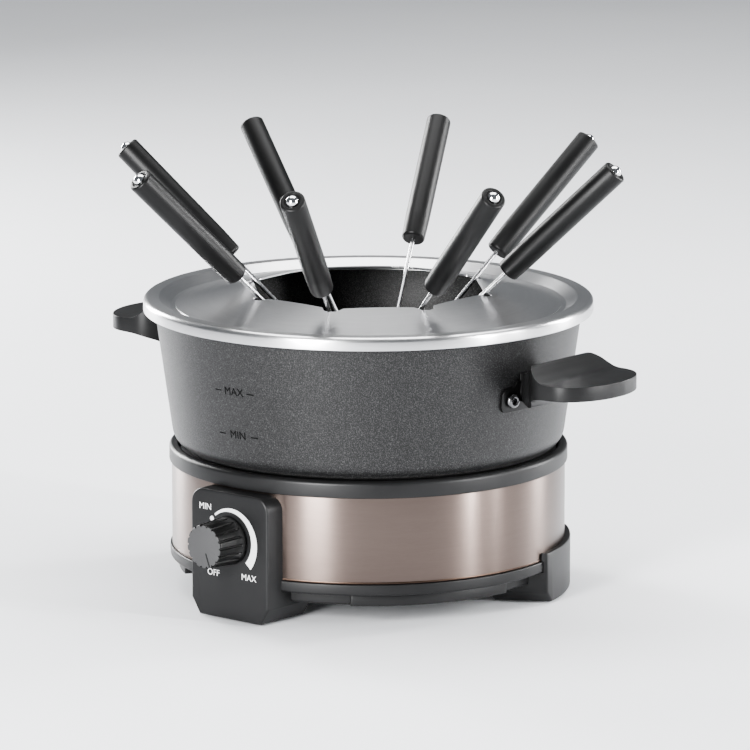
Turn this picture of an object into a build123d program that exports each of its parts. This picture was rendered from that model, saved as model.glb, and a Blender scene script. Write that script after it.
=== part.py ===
"""Electric fondue pot set: heated base, lift-off pot, fork guard and eight forks.

Millimetres, +Z up. The origin is on the worktop under the pot's axis; -Y faces the control
knob and the pot's handles lie along X.
"""

from build123d import *
from math import cos, radians, sin
import os

# --- driving dimensions -------------------------------------------------------------------
GAP = 0.3                     # clearance between bodies that lift apart
SKIN = 0.1                    # clearance between fixed neighbours with curved faces

# base
BAND_R = 103.5                # stainless band, outer radius
BAND_WALL = 0.8
BAND_LOW = 23.6
BAND_TOP = 69.2
BEZEL_R = 104.8               # plastic bezel above the band
BEZEL_LOW = 68.8
BEZEL_TOP = 77.5
BEZEL_BORE = 99.8             # recess that the pot drops into
HOUSING_R = 104.5             # lower ring of the plastic pan
HOUSING_LOW = 17.6
PAN_R = 97.0                  # pan wall below the ring
PAN_LOW = 11.2
SKIRT_R = 100.0               # raised arcs on the pan wall, between the legs
SKIRT_HALF = 25.6             # degrees
PLATE_R = 98.8                # hot plate
PLATE_SEAT = 71.5
PLATE_TOP = 75.0
SHIELD_Z = 44.0               # heat shield floor

# legs and control housing
LEG_R = 106.6
LEG_HALF = 35.2
LEG_TOP = 28.0
LEG_INNER = 76.0
SOLE = 1.0                    # plastic soles stand this far above the worktop, on rubber
PLAIN_LEGS = {"leg_right": 30, "leg_left": 150}
LEG_ANGLES = (-90, 30, 150)
PANEL_Y = 112.0               # control panel face, distance in front of the axis
PANEL_W = 52.0
PANEL_TOP = 68.0
KNOB_Z = 43.0
KNOB_LEN = 19.5
KNOB_BASE_R = 12.8
KNOB_FACE_R = 11.4
KNOB_GROOVES = 18
KNOB_GROOVE_AT = 12.3
KNOB_GROOVE_R = 1.3
KNOB_BORE_DEPTH = 12.0
SHAFT_BACK = 93.0
SHAFT_R = 3.0

# pot
POT_LOW = PLATE_TOP + GAP
POT_WALL = 3.0
POT_RIM_Z = 153.9
POT_REF_R = 109.5             # outer radius of the wall at POT_REF_Z
POT_REF_Z = 130.9
POT_SLOPE = 0.141
POT_FOOT_ROUND = 12.0

# pot handles, measured outward from the pot's axis
HANDLE_ROOT = 112.6
HANDLE_TIP = 166.0
BRACKET_Z = (108.7, 121.7)
BRACKET_TAB_Z = 125.0
RIVET_ANGLE = 7.6             # degrees either side of the handle
RIVET_Z = 115.0

# fork guard
SHEET = 0.8
GUARD_R = 118.0
GUARD_LOW = 148.2
GUARD_TOP = 155.0
CROWN_R = 101.0               # foot of the faceted crown
CROWN_LOW = 150.0
HOLE_APOTHEM = 59.0           # octagonal mouth
HOLE_Z = 159.6
CROWN_FOOT_Z = 151.2          # crown height at its foot, in the middle of a facet
NOTCH_R = 4.2
NOTCH_AT = 62.5               # distance of a notch from the axis
NOTCH_Z = 158.8

# forks
FORKS = 8
FORK_LEAN = 46.0              # degrees from vertical
FORK_SHIFT = 2.0              # each shaft lies to one side of its notch
FORK_SWIRL = 2.7              # and points a little past the axis, so no two shafts meet
FORK_SHAFT_R = 1.0
FORK_REACH = 113.6            # tip below the notch, along the shaft
FORK_HEAD = 14.0              # length of the two tines and their bridge
FORK_HEAD_W = 4.2
FORK_HEAD_T = 1.2
GRIP_START = 18.5             # grip above the notch, along the shaft
GRIP_LEN = 80.0
GRIP_R = 6.5

os.makedirs("parts", exist_ok=True)


def save(part, name):
    """Label one finished piece and write it."""
    part.label = name
    export_step(part, f"parts/{name}.step")


def pot_radius(z):
    """Outer radius of the pot's conical wall at a height."""
    return POT_REF_R + POT_SLOPE * (z - POT_REF_Z)


def ring_section(points):
    """Closed outline of radius and height points on the XZ plane, ready to revolve."""
    with BuildSketch(Plane.XZ) as section:
        with BuildLine():
            Polyline(points, close=True)
        make_face()
    return section.sketch


def polar(radius, degrees):
    """X and Y of a point given by its radius and angle."""
    return radius * cos(radians(degrees)), radius * sin(radians(degrees))


# --- base: pan, legs and band -------------------------------------------------------------
PAN_FLOOR = 14.2              # top of the pan's floor
PAN_MOUTH_R = 58.0            # opening in that floor, closed by the cover
PAN_INNER_R = 94.0
SPIGOT_R = BAND_R - BAND_WALL - SKIN      # collar that the band slips over
SPIGOT_LOW = 20.5
SPIGOT_TOP = 30.0
POST_AT = 70.0                # posts that carry the heat shield
POST_R = 5.0
POST_HOLE_R = 1.5
POST_ANGLES = (-30, 90, 210)
COVER_R = 66.0
COVER_LOW = 9.6
COVER_SCREW_AT = 62.0
COVER_SCREWS = 4
COVER_SCREW_ANGLE = 45
COVER_SCREW_LOW = 8.2
VENT_RINGS = {30.0: 12, 42.0: 16, 52.0: 20}
VENT_LENGTH = 6.4
VENT_WIDTH = 2.4
LEG_SCREWS = ((84, -12), (84, 12))        # out from the axis and across, in each leg's own plan
LEG_SCREW_LOW = 5.0
LEG_SCREW_HOLE_R = 1.7
LEG_CHAMFER_OUT = 5.5         # cut-off bottom corners of the plain legs
LEG_CHAMFER_Z = 7.0
PANEL_CHAMFER_OUT = 5.3       # and of the control housing
PANEL_CHAMFER_Z = 9.5
PANEL_CORNER_R = 8.0
PANEL_WALL = 2.6
PANEL_INNER = 90.0            # back of the control housing's cavity
PAD_DEPTH = 1.5               # rubber pads sink this far into the soles

with BuildPart() as leg_screw_holes:
    for leg_angle in LEG_ANGLES:
        with BuildSketch(Plane.XY.rotated((0, 0, leg_angle)).offset(LEG_SCREW_LOW - 1)):
            with Locations(*LEG_SCREWS):
                Circle(LEG_SCREW_HOLE_R)
        extrude(amount=PAN_FLOOR - LEG_SCREW_LOW + 2)

with BuildPart() as lower_housing:
    section = ring_section(
        [
            (PAN_MOUTH_R, PAN_LOW),
            (PAN_R, PAN_LOW),
            (PAN_R, HOUSING_LOW),
            (HOUSING_R, HOUSING_LOW),
            (HOUSING_R, BAND_LOW - SKIN),
            (SPIGOT_R, BAND_LOW - SKIN),
            (SPIGOT_R, SPIGOT_TOP),
            (BEZEL_BORE, SPIGOT_TOP),
            (BEZEL_BORE, SPIGOT_LOW),
            (PAN_INNER_R, SPIGOT_LOW),
            (PAN_INNER_R, PAN_FLOOR),
            (PAN_MOUTH_R, PAN_FLOOR),
        ]
    )
    revolve(section, axis=Axis.Z)
    for angle in POST_ANGLES:
        with BuildSketch(Plane.XY.rotated((0, 0, angle)).offset(PAN_LOW)):
            with BuildLine():
                CenterArc((0, 0), SKIRT_R, -SKIRT_HALF, 2 * SKIRT_HALF)
                CenterArc((0, 0), PAN_R - 1, -SKIRT_HALF, 2 * SKIRT_HALF)
                Line(polar(SKIRT_R, SKIRT_HALF), polar(PAN_R - 1, SKIRT_HALF))
                Line(polar(SKIRT_R, -SKIRT_HALF), polar(PAN_R - 1, -SKIRT_HALF))
            make_face()
        extrude(amount=HOUSING_LOW - PAN_LOW - GAP)
    with BuildSketch(Plane.XY.offset(PAN_FLOOR)):
        with PolarLocations(POST_AT, len(POST_ANGLES), start_angle=POST_ANGLES[0]):
            Circle(POST_R)
            Circle(POST_HOLE_R, mode=Mode.SUBTRACT)
    extrude(amount=SHIELD_Z - PAN_FLOOR)
    with PolarLocations(COVER_SCREW_AT, COVER_SCREWS, start_angle=COVER_SCREW_ANGLE):
        with Locations((0, 0, PAN_LOW)):
            Cylinder(1.6, 12, mode=Mode.SUBTRACT)
    rim_edges = lower_housing.edges().filter_by(GeomType.CIRCLE)
    outer_rims = rim_edges.filter_by(lambda e: e.radius > HOUSING_R - 0.1)
    fillet(outer_rims.sort_by(Axis.Z)[0], 1.2)
    add(leg_screw_holes.part, mode=Mode.SUBTRACT)
save(lower_housing.part, "lower_housing")

with BuildPart() as bottom_cover:
    with BuildSketch(Plane.XY.offset(COVER_LOW)):
        Circle(COVER_R)
        with PolarLocations(COVER_SCREW_AT, COVER_SCREWS, start_angle=COVER_SCREW_ANGLE):
            Circle(1.7, mode=Mode.SUBTRACT)
        for radius, count in VENT_RINGS.items():
            with PolarLocations(radius, count):
                SlotOverall(VENT_LENGTH, VENT_WIDTH, mode=Mode.SUBTRACT)
    extrude(amount=PAN_LOW - COVER_LOW)
save(bottom_cover.part, "bottom_cover")

with BuildPart() as cover_screws:
    with BuildSketch(Plane.XY.offset(COVER_SCREW_LOW)):
        with PolarLocations(COVER_SCREW_AT, COVER_SCREWS, start_angle=COVER_SCREW_ANGLE):
            Circle(3.2)
    extrude(amount=COVER_LOW - COVER_SCREW_LOW)
    with BuildSketch(Plane.XY.offset(COVER_SCREW_LOW)):
        with PolarLocations(COVER_SCREW_AT, COVER_SCREWS, start_angle=COVER_SCREW_ANGLE):
            Circle(1.5)
    extrude(amount=8.0)
    with BuildSketch(Plane.XY.offset(COVER_SCREW_LOW)):
        with PolarLocations(COVER_SCREW_AT, COVER_SCREWS, start_angle=COVER_SCREW_ANGLE):
            Rectangle(3.4, 0.8)
            Rectangle(0.8, 3.4)
    extrude(amount=0.8, mode=Mode.SUBTRACT)
save(cover_screws.part, "cover_screws")


# the base's own outline with a skin of clearance, cut out of the legs that wrap it
with BuildPart() as base_clearance:
    with BuildSketch(Plane.XY.offset(BAND_LOW)):
        Circle(BAND_R + SKIN)
    extrude(amount=80)
    with BuildSketch(Plane.XY.offset(HOUSING_LOW - SKIN)):
        Circle(HOUSING_R + SKIN)
    extrude(amount=BAND_LOW - HOUSING_LOW + SKIN)
    with BuildSketch(Plane.XY.offset(PAN_LOW - SKIN)):
        Circle(PAN_R + SKIN)
    extrude(amount=HOUSING_LOW - PAN_LOW + SKIN)


PAD_R = 7.0
PAD_AT = 92.0
PAD_SPREAD = {-90: 11.0, 30: 19.5, 150: 19.5}


def pad_spots(angle):
    """Plan positions of the two rubber pads under one leg."""
    across = PAD_SPREAD[angle]
    out = cos(radians(angle)), sin(radians(angle))
    side = -out[1], out[0]
    return [(PAD_AT * out[0] + s * across * side[0], PAD_AT * out[1] + s * across * side[1]) for s in (-1, 1)]


for leg_name, leg_angle in PLAIN_LEGS.items():
    leg_plan = Plane.XY.rotated((0, 0, leg_angle))
    leg_front = Plane(origin=(0, 0, 0), x_dir=leg_plan.y_dir, z_dir=leg_plan.x_dir)
    with BuildPart() as leg:
        with BuildSketch(leg_plan.offset(SOLE)):
            Circle(LEG_R)
            with Locations(((LEG_INNER + LEG_R) / 2, 0)):
                Rectangle(LEG_R - LEG_INNER, 2 * LEG_HALF, mode=Mode.INTERSECT)
        extrude(amount=LEG_TOP - SOLE)
        with BuildSketch(leg_front):
            with BuildLine():
                Polyline(
                    (-LEG_HALF, LEG_CHAMFER_Z),
                    (-LEG_HALF + LEG_CHAMFER_OUT, SOLE),
                    (LEG_HALF - LEG_CHAMFER_OUT, SOLE),
                    (LEG_HALF, LEG_CHAMFER_Z),
                    (LEG_HALF, LEG_TOP),
                    (-LEG_HALF, LEG_TOP),
                    close=True,
                )
            make_face()
        extrude(amount=LEG_R + 1, mode=Mode.INTERSECT)
        add(base_clearance.part, mode=Mode.SUBTRACT)
        add(leg_screw_holes.part, mode=Mode.SUBTRACT)
        with BuildSketch(Plane.XY.offset(SOLE)):
            with Locations(*pad_spots(leg_angle)):
                Circle(PAD_R + SKIN)
        extrude(amount=PAD_DEPTH, mode=Mode.SUBTRACT)
    save(leg.part, leg_name)

with BuildPart() as foot_pads:
    with BuildSketch(Plane.XY):
        for leg_angle in LEG_ANGLES:
            with Locations(*pad_spots(leg_angle)):
                Circle(PAD_R)
    extrude(amount=SOLE + PAD_DEPTH)
    chamfer(foot_pads.edges().group_by(Axis.Z)[0], 0.5)
save(foot_pads.part, "foot_pads")

with BuildPart() as control_housing:
    with BuildSketch(Plane.XZ.offset(LEG_INNER)):
        with BuildLine():
            FilletPolyline(
                (-PANEL_W / 2, PANEL_CHAMFER_Z),
                (-PANEL_W / 2 + PANEL_CHAMFER_OUT, SOLE),
                (PANEL_W / 2 - PANEL_CHAMFER_OUT, SOLE),
                (PANEL_W / 2, PANEL_CHAMFER_Z),
                (PANEL_W / 2, PANEL_TOP),
                (-PANEL_W / 2, PANEL_TOP),
                radius=(1.2, 1.2, 1.2, 1.2, PANEL_CORNER_R, PANEL_CORNER_R),
                close=True,
            )
        make_face()
    extrude(amount=PANEL_Y - LEG_INNER)
    fillet(control_housing.edges().group_by(Axis.Y)[0], 1.5)
    add(base_clearance.part, mode=Mode.SUBTRACT)
    add(leg_screw_holes.part, mode=Mode.SUBTRACT)
    cavity_low, cavity_top = 20, PANEL_TOP - 3
    with BuildSketch(Plane.XZ.offset(PANEL_INNER)):
        with Locations((0, (cavity_low + cavity_top) / 2)):
            RectangleRounded(PANEL_W - 6, cavity_top - cavity_low, 4)
    extrude(amount=PANEL_Y - PANEL_WALL - PANEL_INNER, mode=Mode.SUBTRACT)
    with BuildSketch(Plane.XZ.offset(PANEL_Y - 4)):
        with Locations((0, KNOB_Z)):
            Circle(5.2)
    extrude(amount=6, mode=Mode.SUBTRACT)
    with BuildSketch(Plane.XY.offset(SOLE)):
        with Locations(*pad_spots(-90)):
            Circle(PAD_R + SKIN)
    extrude(amount=PAD_DEPTH, mode=Mode.SUBTRACT)
save(control_housing.part, "control_housing")

with BuildPart() as leg_screws:
    for leg_angle in LEG_ANGLES:
        with BuildSketch(Plane.XY.rotated((0, 0, leg_angle)).offset(PAN_FLOOR + 0.05)):
            with Locations(*LEG_SCREWS):
                RegularPolygon(3.4, 6)
        extrude(amount=2.4)
        with BuildSketch(Plane.XY.rotated((0, 0, leg_angle)).offset(LEG_SCREW_LOW)):
            with Locations(*LEG_SCREWS):
                Circle(LEG_SCREW_HOLE_R - SKIN)
        extrude(amount=PAN_FLOOR - LEG_SCREW_LOW + 1)
save(leg_screws.part, "leg_screws")

GLAND_Z = 47.0
GLAND_BORE = 3.6
GLAND_FLANGE_R = 8.5
GLAND_NECK_R = 6.0
GLAND_OUT = (97.5, 100.4, 105.0, 107.6, 109.0)    # its steps, measured out from the axis
WINDOW = (30, 34)             # opening in the band behind the control panel, width and height

with BuildPart() as metal_band:
    with BuildSketch(Plane.XY.offset(BAND_LOW)):
        Circle(BAND_R)
        Circle(BAND_R - BAND_WALL, mode=Mode.SUBTRACT)
    extrude(amount=BAND_TOP - BAND_LOW)
    with BuildSketch(Plane.XZ.offset(PANEL_INNER)):
        with Locations((0, KNOB_Z)):
            RectangleRounded(*WINDOW, 3)
    extrude(amount=30, mode=Mode.SUBTRACT)
    with BuildSketch(Plane.XZ.offset(-PANEL_INNER)):
        with Locations((0, GLAND_Z)):
            Circle(GLAND_NECK_R + 2 * SKIN)
    extrude(amount=-30, mode=Mode.SUBTRACT)
save(metal_band.part, "metal_band")

with BuildPart() as cord_gland:
    with BuildSketch(Plane.YZ):
        with BuildLine():
            Polyline(
                (GLAND_OUT[0], GLAND_BORE),
                (GLAND_OUT[0], GLAND_FLANGE_R),
                (GLAND_OUT[1], GLAND_FLANGE_R),
                (GLAND_OUT[1], GLAND_NECK_R),
                (GLAND_OUT[2], GLAND_NECK_R),
                (GLAND_OUT[2], GLAND_FLANGE_R),
                (GLAND_OUT[3], GLAND_FLANGE_R - 0.5),
                (GLAND_OUT[4], GLAND_NECK_R + 0.4),
                (GLAND_OUT[4], GLAND_BORE),
                close=True,
            )
        make_face()
    revolve(axis=Axis.Y)
cord_gland.part = cord_gland.part.moved(Location((0, 0, GLAND_Z)))
save(cord_gland.part, "cord_gland")

BEZEL_LEDGE_R = 92.5          # ledge that the hot plate rests on
BEZEL_LEDGE_T = 2.5
BEZEL_SKIRT = 60.0            # how low the bezel reaches inside the band

with BuildPart() as bezel_ring:
    section = ring_section(
        [
            (BEZEL_R, BEZEL_LOW),
            (BEZEL_R, BEZEL_TOP),
            (BEZEL_BORE, BEZEL_TOP),
            (BEZEL_BORE, PLATE_SEAT),
            (BEZEL_LEDGE_R, PLATE_SEAT),
            (BEZEL_LEDGE_R, PLATE_SEAT - BEZEL_LEDGE_T),
            (BEZEL_BORE, PLATE_SEAT - BEZEL_LEDGE_T),
            (BEZEL_BORE, BEZEL_SKIRT),
            (SPIGOT_R, BEZEL_SKIRT),
            (SPIGOT_R, BAND_TOP + SKIN),
            (BAND_R + SKIN, BAND_TOP + SKIN),
            (BAND_R + SKIN, BEZEL_LOW),
        ]
    )
    revolve(section, axis=Axis.Z)
    top_edges = bezel_ring.edges().group_by(Axis.Z)[-1].sort_by(SortBy.LENGTH)
    fillet(top_edges[-1], 2.2)
    fillet(bezel_ring.edges().group_by(Axis.Z)[-1].sort_by(SortBy.LENGTH)[0], 1.0)
save(bezel_ring.part, "bezel_ring")

# --- base: heating and control parts -------------------------------------------------------
ELEMENT_R = 62.0
ELEMENT_TUBE = 3.5
ELEMENT_Z = 62.3
ELEMENT_GAP = 40              # degrees left open between the element's ends
ELEMENT_ENDS = (-90 + ELEMENT_GAP / 2, -90 - ELEMENT_GAP / 2)
ELEMENT_PIN_R = 1.6
PLATE_UNDER = 66.0
PLATE_BOSS_R = 88.0
CLAMP_T = 2.0
CLAMP_ANGLES = (30, 90, 150)

with BuildPart() as hot_plate:
    with BuildSketch(Plane.XY.offset(PLATE_SEAT)):
        Circle(PLATE_R)
    extrude(amount=PLATE_TOP - PLATE_SEAT)
    with BuildSketch(Plane.XY.offset(PLATE_UNDER)):
        Circle(PLATE_BOSS_R)
    extrude(amount=PLATE_SEAT - PLATE_UNDER)
    chamfer(hot_plate.edges().group_by(Axis.Z)[-1], 0.8)
save(hot_plate.part, "hot_plate")

with BuildPart() as heating_element:
    with BuildSketch(Plane.XZ.rotated((0, 0, ELEMENT_ENDS[0]))):
        with Locations((ELEMENT_R, ELEMENT_Z)):
            Circle(ELEMENT_TUBE)
    revolve(axis=Axis.Z, revolution_arc=360 - ELEMENT_GAP)
    for angle in ELEMENT_ENDS:
        end_x, end_y = polar(ELEMENT_R, angle)
        with Locations((end_x, end_y, ELEMENT_Z)):
            Sphere(ELEMENT_TUBE)
        with BuildSketch(Plane((end_x, end_y, ELEMENT_Z - 12))):
            Circle(ELEMENT_TUBE)
        extrude(amount=12)
        with BuildSketch(Plane((end_x, end_y, ELEMENT_Z - 16))):
            Circle(ELEMENT_PIN_R)
        extrude(amount=4.2)
save(heating_element.part, "heating_element")

with BuildPart() as element_clamps:
    for angle in CLAMP_ANGLES:
        with BuildSketch(Plane.XY.rotated((0, 0, angle)).offset(ELEMENT_Z - ELEMENT_TUBE - SKIN - CLAMP_T)):
            with Locations((56, 0)):
                RectangleRounded(22, 9, 2)
        extrude(amount=CLAMP_T)
        with BuildSketch(Plane.XY.rotated((0, 0, angle)).offset(ELEMENT_Z - ELEMENT_TUBE - SKIN)):
            with Locations((51, 0)):
                Circle(2.6)
        extrude(amount=PLATE_UNDER - ELEMENT_Z + ELEMENT_TUBE + SKIN)
save(element_clamps.part, "element_clamps")

SHIELD_T = 1.0
SHIELD_BORE = 12.0
SHIELD_R = 91.0
SHIELD_TOP = 58.0
SHIELD_FLANGE_R = 98.5

with BuildPart() as heat_shield:
    section = ring_section(
        [
            (SHIELD_BORE, SHIELD_Z),
            (SHIELD_R, SHIELD_Z),
            (SHIELD_R, SHIELD_TOP - SHIELD_T),
            (SHIELD_FLANGE_R, SHIELD_TOP - SHIELD_T),
            (SHIELD_FLANGE_R, SHIELD_TOP),
            (SHIELD_R - SHIELD_T, SHIELD_TOP),
            (SHIELD_R - SHIELD_T, SHIELD_Z + SHIELD_T),
            (SHIELD_BORE, SHIELD_Z + SHIELD_T),
        ]
    )
    revolve(section, axis=Axis.Z)
    with PolarLocations(POST_AT, len(POST_ANGLES), start_angle=POST_ANGLES[0]):
        with Locations((0, 0, SHIELD_Z)):
            Cylinder(1.7, 6, mode=Mode.SUBTRACT)
    for angle in ELEMENT_ENDS:
        end_x, end_y = polar(ELEMENT_R, angle)
        with Locations((end_x, end_y, SHIELD_Z)):
            Cylinder(ELEMENT_TUBE + 1, 6, mode=Mode.SUBTRACT)
    with Locations((0, -95, SHIELD_Z + 8)):
        Box(34, 26, 24, mode=Mode.SUBTRACT)      # clearance for the thermostat
save(heat_shield.part, "heat_shield")

with BuildPart() as shield_screws:
    with BuildSketch(Plane.XY.offset(SHIELD_Z + SHIELD_T)):
        with PolarLocations(POST_AT, len(POST_ANGLES), start_angle=POST_ANGLES[0]):
            Circle(3)
    extrude(amount=1.8)
    with BuildSketch(Plane.XY.offset(SHIELD_Z - 9)):
        with PolarLocations(POST_AT, len(POST_ANGLES), start_angle=POST_ANGLES[0]):
            Circle(POST_HOLE_R - SKIN)
    extrude(amount=9 + SHIELD_T)
save(shield_screws.part, "shield_screws")

THERMOSTAT_Y = (84.0, 98.0, 108.2)       # back, front and bushing end, in front of the axis
FUSE_Y = 20.0
FUSE_R = 2.6

with BuildPart() as thermostat_body:
    with BuildSketch(Plane.XZ.offset(THERMOSTAT_Y[0])):
        with Locations((0, KNOB_Z)):
            RectangleRounded(24, 26, 3)
    extrude(amount=THERMOSTAT_Y[1] - THERMOSTAT_Y[0])
    with BuildSketch(Plane.XZ.offset(THERMOSTAT_Y[1])):
        with Locations((0, KNOB_Z)):
            Circle(4.6)
    extrude(amount=THERMOSTAT_Y[2] - THERMOSTAT_Y[1])
    with BuildSketch(Plane.XZ.offset(SHAFT_BACK - 1)):
        with Locations((0, KNOB_Z)):
            Circle(SHAFT_R + 0.05)
    extrude(amount=20, mode=Mode.SUBTRACT)
save(thermostat_body.part, "thermostat_body")

with BuildPart() as thermostat_bracket:
    with BuildSketch(Plane.XZ.offset(THERMOSTAT_Y[2] + 0.05)):
        with Locations((0, KNOB_Z)):
            RectangleRounded(40, 16, 2)
            Circle(4.0, mode=Mode.SUBTRACT)
    extrude(amount=1.1)
save(thermostat_bracket.part, "thermostat_bracket")

with BuildPart() as thermal_fuse:
    with BuildSketch(Plane.YZ.offset(-8)):
        with Locations((FUSE_Y, PLATE_UNDER - FUSE_R - SKIN)):
            Circle(FUSE_R)
    extrude(amount=16)
    with BuildSketch(Plane.YZ.offset(-11)):
        with Locations((FUSE_Y, PLATE_UNDER - FUSE_R - SKIN)):
            Circle(0.6)
    extrude(amount=22)
save(thermal_fuse.part, "thermal_fuse")

TERMINAL_AT = (28, 70)

with BuildPart() as terminal_block:
    with BuildSketch(Plane.XY.offset(PAN_FLOOR)):
        with Locations(TERMINAL_AT):
            Rectangle(30, 14)
    extrude(amount=10)
    with BuildSketch(Plane.XZ.offset(-TERMINAL_AT[1] - 7)):
        with Locations(*[(TERMINAL_AT[0] + shift, PAN_FLOOR + 5) for shift in (-9, 0, 9)]):
            Circle(2.2)
    extrude(amount=14, mode=Mode.SUBTRACT)
save(terminal_block.part, "terminal_block")

# --- knob ----------------------------------------------------------------------------------
KNOB_BACK = PANEL_Y + GAP
KNOB_FRONT = KNOB_BACK + KNOB_LEN
KNOB_SKIRT = 3.0              # length at the back without grooves
KNOB_WALL = 2.6
KNOB_HUB_R = 5.4
KNOB_FACE_T = 4.0

with BuildPart() as knob:
    with BuildSketch(Plane.XZ.offset(KNOB_BACK)):
        with Locations((0, KNOB_Z)):
            Circle(KNOB_BASE_R)
    with BuildSketch(Plane.XZ.offset(KNOB_FRONT)):
        with Locations((0, KNOB_Z)):
            Circle(KNOB_FACE_R)
    loft()
    fillet(knob.edges().group_by(Axis.Y)[0], 1.0)
    with BuildSketch(Plane.XZ.offset(KNOB_BACK + KNOB_SKIRT)):
        with Locations((0, KNOB_Z)):
            with PolarLocations(KNOB_GROOVE_AT, KNOB_GROOVES):
                Circle(KNOB_GROOVE_R)
    extrude(amount=KNOB_LEN, mode=Mode.SUBTRACT)
    with BuildSketch(Plane.XZ.offset(KNOB_BACK)):
        with Locations((0, KNOB_Z)):
            Circle(KNOB_BASE_R - KNOB_WALL)
            Circle(KNOB_HUB_R, mode=Mode.SUBTRACT)
    extrude(amount=KNOB_LEN - KNOB_FACE_T, mode=Mode.SUBTRACT)
    with BuildSketch(Plane.XZ.offset(KNOB_BACK)):
        with Locations((0, KNOB_Z)):
            Circle(SHAFT_R)
    extrude(amount=KNOB_BORE_DEPTH, mode=Mode.SUBTRACT)
save(knob.part, "knob")

with BuildPart() as knob_shaft:
    with BuildSketch(Plane.XZ.offset(SHAFT_BACK)):
        with Locations((0, KNOB_Z)):
            Circle(SHAFT_R)
    extrude(amount=KNOB_BACK + KNOB_BORE_DEPTH - SHAFT_BACK)
save(knob_shaft.part, "knob_shaft")

# --- pot -----------------------------------------------------------------------------------
INNER_ROUND = POT_FOOT_ROUND - POT_WALL
LIP_R = 115.4                 # lip that the guard stands on
LIP_T = 2.6
LIP_EDGE = 0.6
LIP_ROOT = 100.0
RIVET_SHANK_R = 2.0
RIVET_ANGLES = [side + offset for side in (0, 180) for offset in (-RIVET_ANGLE, RIVET_ANGLE)]

with BuildPart() as rivet_holes:
    for rivet_angle in RIVET_ANGLES:
        with BuildSketch(Plane(origin=(0, 0, RIVET_Z), z_dir=(*polar(1, rivet_angle), 0)).offset(95)):
            Circle(RIVET_SHANK_R + SKIN)
        extrude(amount=30)

with BuildPart() as pot_body:
    with BuildSketch(Plane.XZ) as pot_outer:
        with BuildLine():
            Polyline(
                (0, POT_LOW),
                (pot_radius(POT_LOW), POT_LOW),
                (pot_radius(POT_RIM_Z), POT_RIM_Z),
                (0, POT_RIM_Z),
                close=True,
            )
        make_face()
        fillet(pot_outer.vertices().group_by(Axis.Y)[0].sort_by(Axis.X)[-1], POT_FOOT_ROUND)
    revolve(axis=Axis.Z)
    section = ring_section(
        [
            (LIP_ROOT, POT_RIM_Z - LIP_T),
            (LIP_R - LIP_EDGE, POT_RIM_Z - LIP_T),
            (LIP_R, POT_RIM_Z - LIP_T + LIP_EDGE),
            (LIP_R, POT_RIM_Z - LIP_EDGE),
            (LIP_R - LIP_EDGE, POT_RIM_Z),
            (LIP_ROOT, POT_RIM_Z),
        ]
    )
    revolve(section, axis=Axis.Z)
    with BuildSketch(Plane.XZ) as pot_inner:
        with BuildLine():
            Polyline(
                (0, POT_LOW + POT_WALL),
                (pot_radius(POT_LOW + POT_WALL) - POT_WALL, POT_LOW + POT_WALL),
                (pot_radius(POT_RIM_Z + 5) - POT_WALL, POT_RIM_Z + 5),
                (0, POT_RIM_Z + 5),
                close=True,
            )
        make_face()
        fillet(pot_inner.vertices().group_by(Axis.Y)[0].sort_by(Axis.X)[-1], INNER_ROUND)
    revolve(axis=Axis.Z, mode=Mode.SUBTRACT)
    add(rivet_holes.part, mode=Mode.SUBTRACT)
save(pot_body.part, "pot_body")

BRACKET_T = 1.4
BRACKET_LIFT = 0.05           # film of air between a bracket and the wall
BRACKET_W = 42.0
TAB_W = 26.0
HANDLE_START = 107.0          # before it is cut back to the bracket's face
NECK_HALF = 9.0
POCKET_AT = 122.5             # pocket under the neck that hides the screw
POCKET_L = 13.0
POCKET_W = 9.0
POCKET_TOP = 123.5
SCREW_Z = 119.0
SCREW_AT = POCKET_AT - POCKET_L / 2 + 0.05
SCREW_HEAD_R = 3.4
SCREW_HEAD_T = 2.2
SCREW_SHANK_R = 1.5
HANDLE_NECK = (114.0, 128.5)  # underside and top of a handle's neck, at its root
HANDLE_TAB = (122.4, 130.0)   # and of its tab, at the tip


def handle_outline(plane):
    """A handle's plan: a narrow neck that flares to a wide rounded tab."""
    half = [
        (HANDLE_START, NECK_HALF),
        (110, NECK_HALF),
        (HANDLE_ROOT, 10.6),
        (117, 12),
        (121, 15.5),
        (125, 20.5),
        (128, 24.5),
        (131.4, 28.2),
        (135, 30.3),
        (140, 31.2),
        (146, 31),
        (154, 28.6),
        (161, 21.5),
        (164.8, 12),
    ]
    other_half = [(x, -y) for x, y in half]
    with BuildSketch(plane) as outline:
        with BuildLine():
            Spline(*half, (HANDLE_TIP, 0), *reversed(other_half))
            Line(other_half[0], half[0])
        make_face()
    return outline.sketch


def handle_side(plane):
    """A handle's side view: the neck climbs from the bracket to a crest, then a flat tab."""
    root, end = HANDLE_START, HANDLE_TIP + 2
    neck_low, neck_high = HANDLE_NECK
    tab_low, tab_high = HANDLE_TAB
    crest = [(118, 131.8), (123, 135.2), (127.5, 137), (131.4, 134.9), (134.8, 132.4), (139.5, 130.2)]
    under = [(156, 122.3), (146, 122.2), (136, 121.5), (128, 118.5), (121, 113.5), (116.5, 111.8)]
    with BuildSketch(plane) as outline:
        with BuildLine():
            Polyline((root, neck_low), (root, neck_high), (HANDLE_ROOT + 1, 129.2))
            Spline((HANDLE_ROOT + 1, 129.2), *crest, (146, 129.8), (156, 129.8), (end, tab_high))
            Line((end, tab_high), (end, tab_low))
            Spline((end, tab_low), *under, (root, neck_low))
        make_face()
    return outline.sketch


with BuildPart() as bracket_face:
    section = ring_section(
        [
            (0, BRACKET_Z[0]),
            (pot_radius(BRACKET_Z[0]) + BRACKET_T + SKIN, BRACKET_Z[0]),
            (pot_radius(POT_RIM_Z) + BRACKET_T + SKIN, POT_RIM_Z),
            (0, POT_RIM_Z),
        ]
    )
    revolve(section, axis=Axis.Z)

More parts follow.
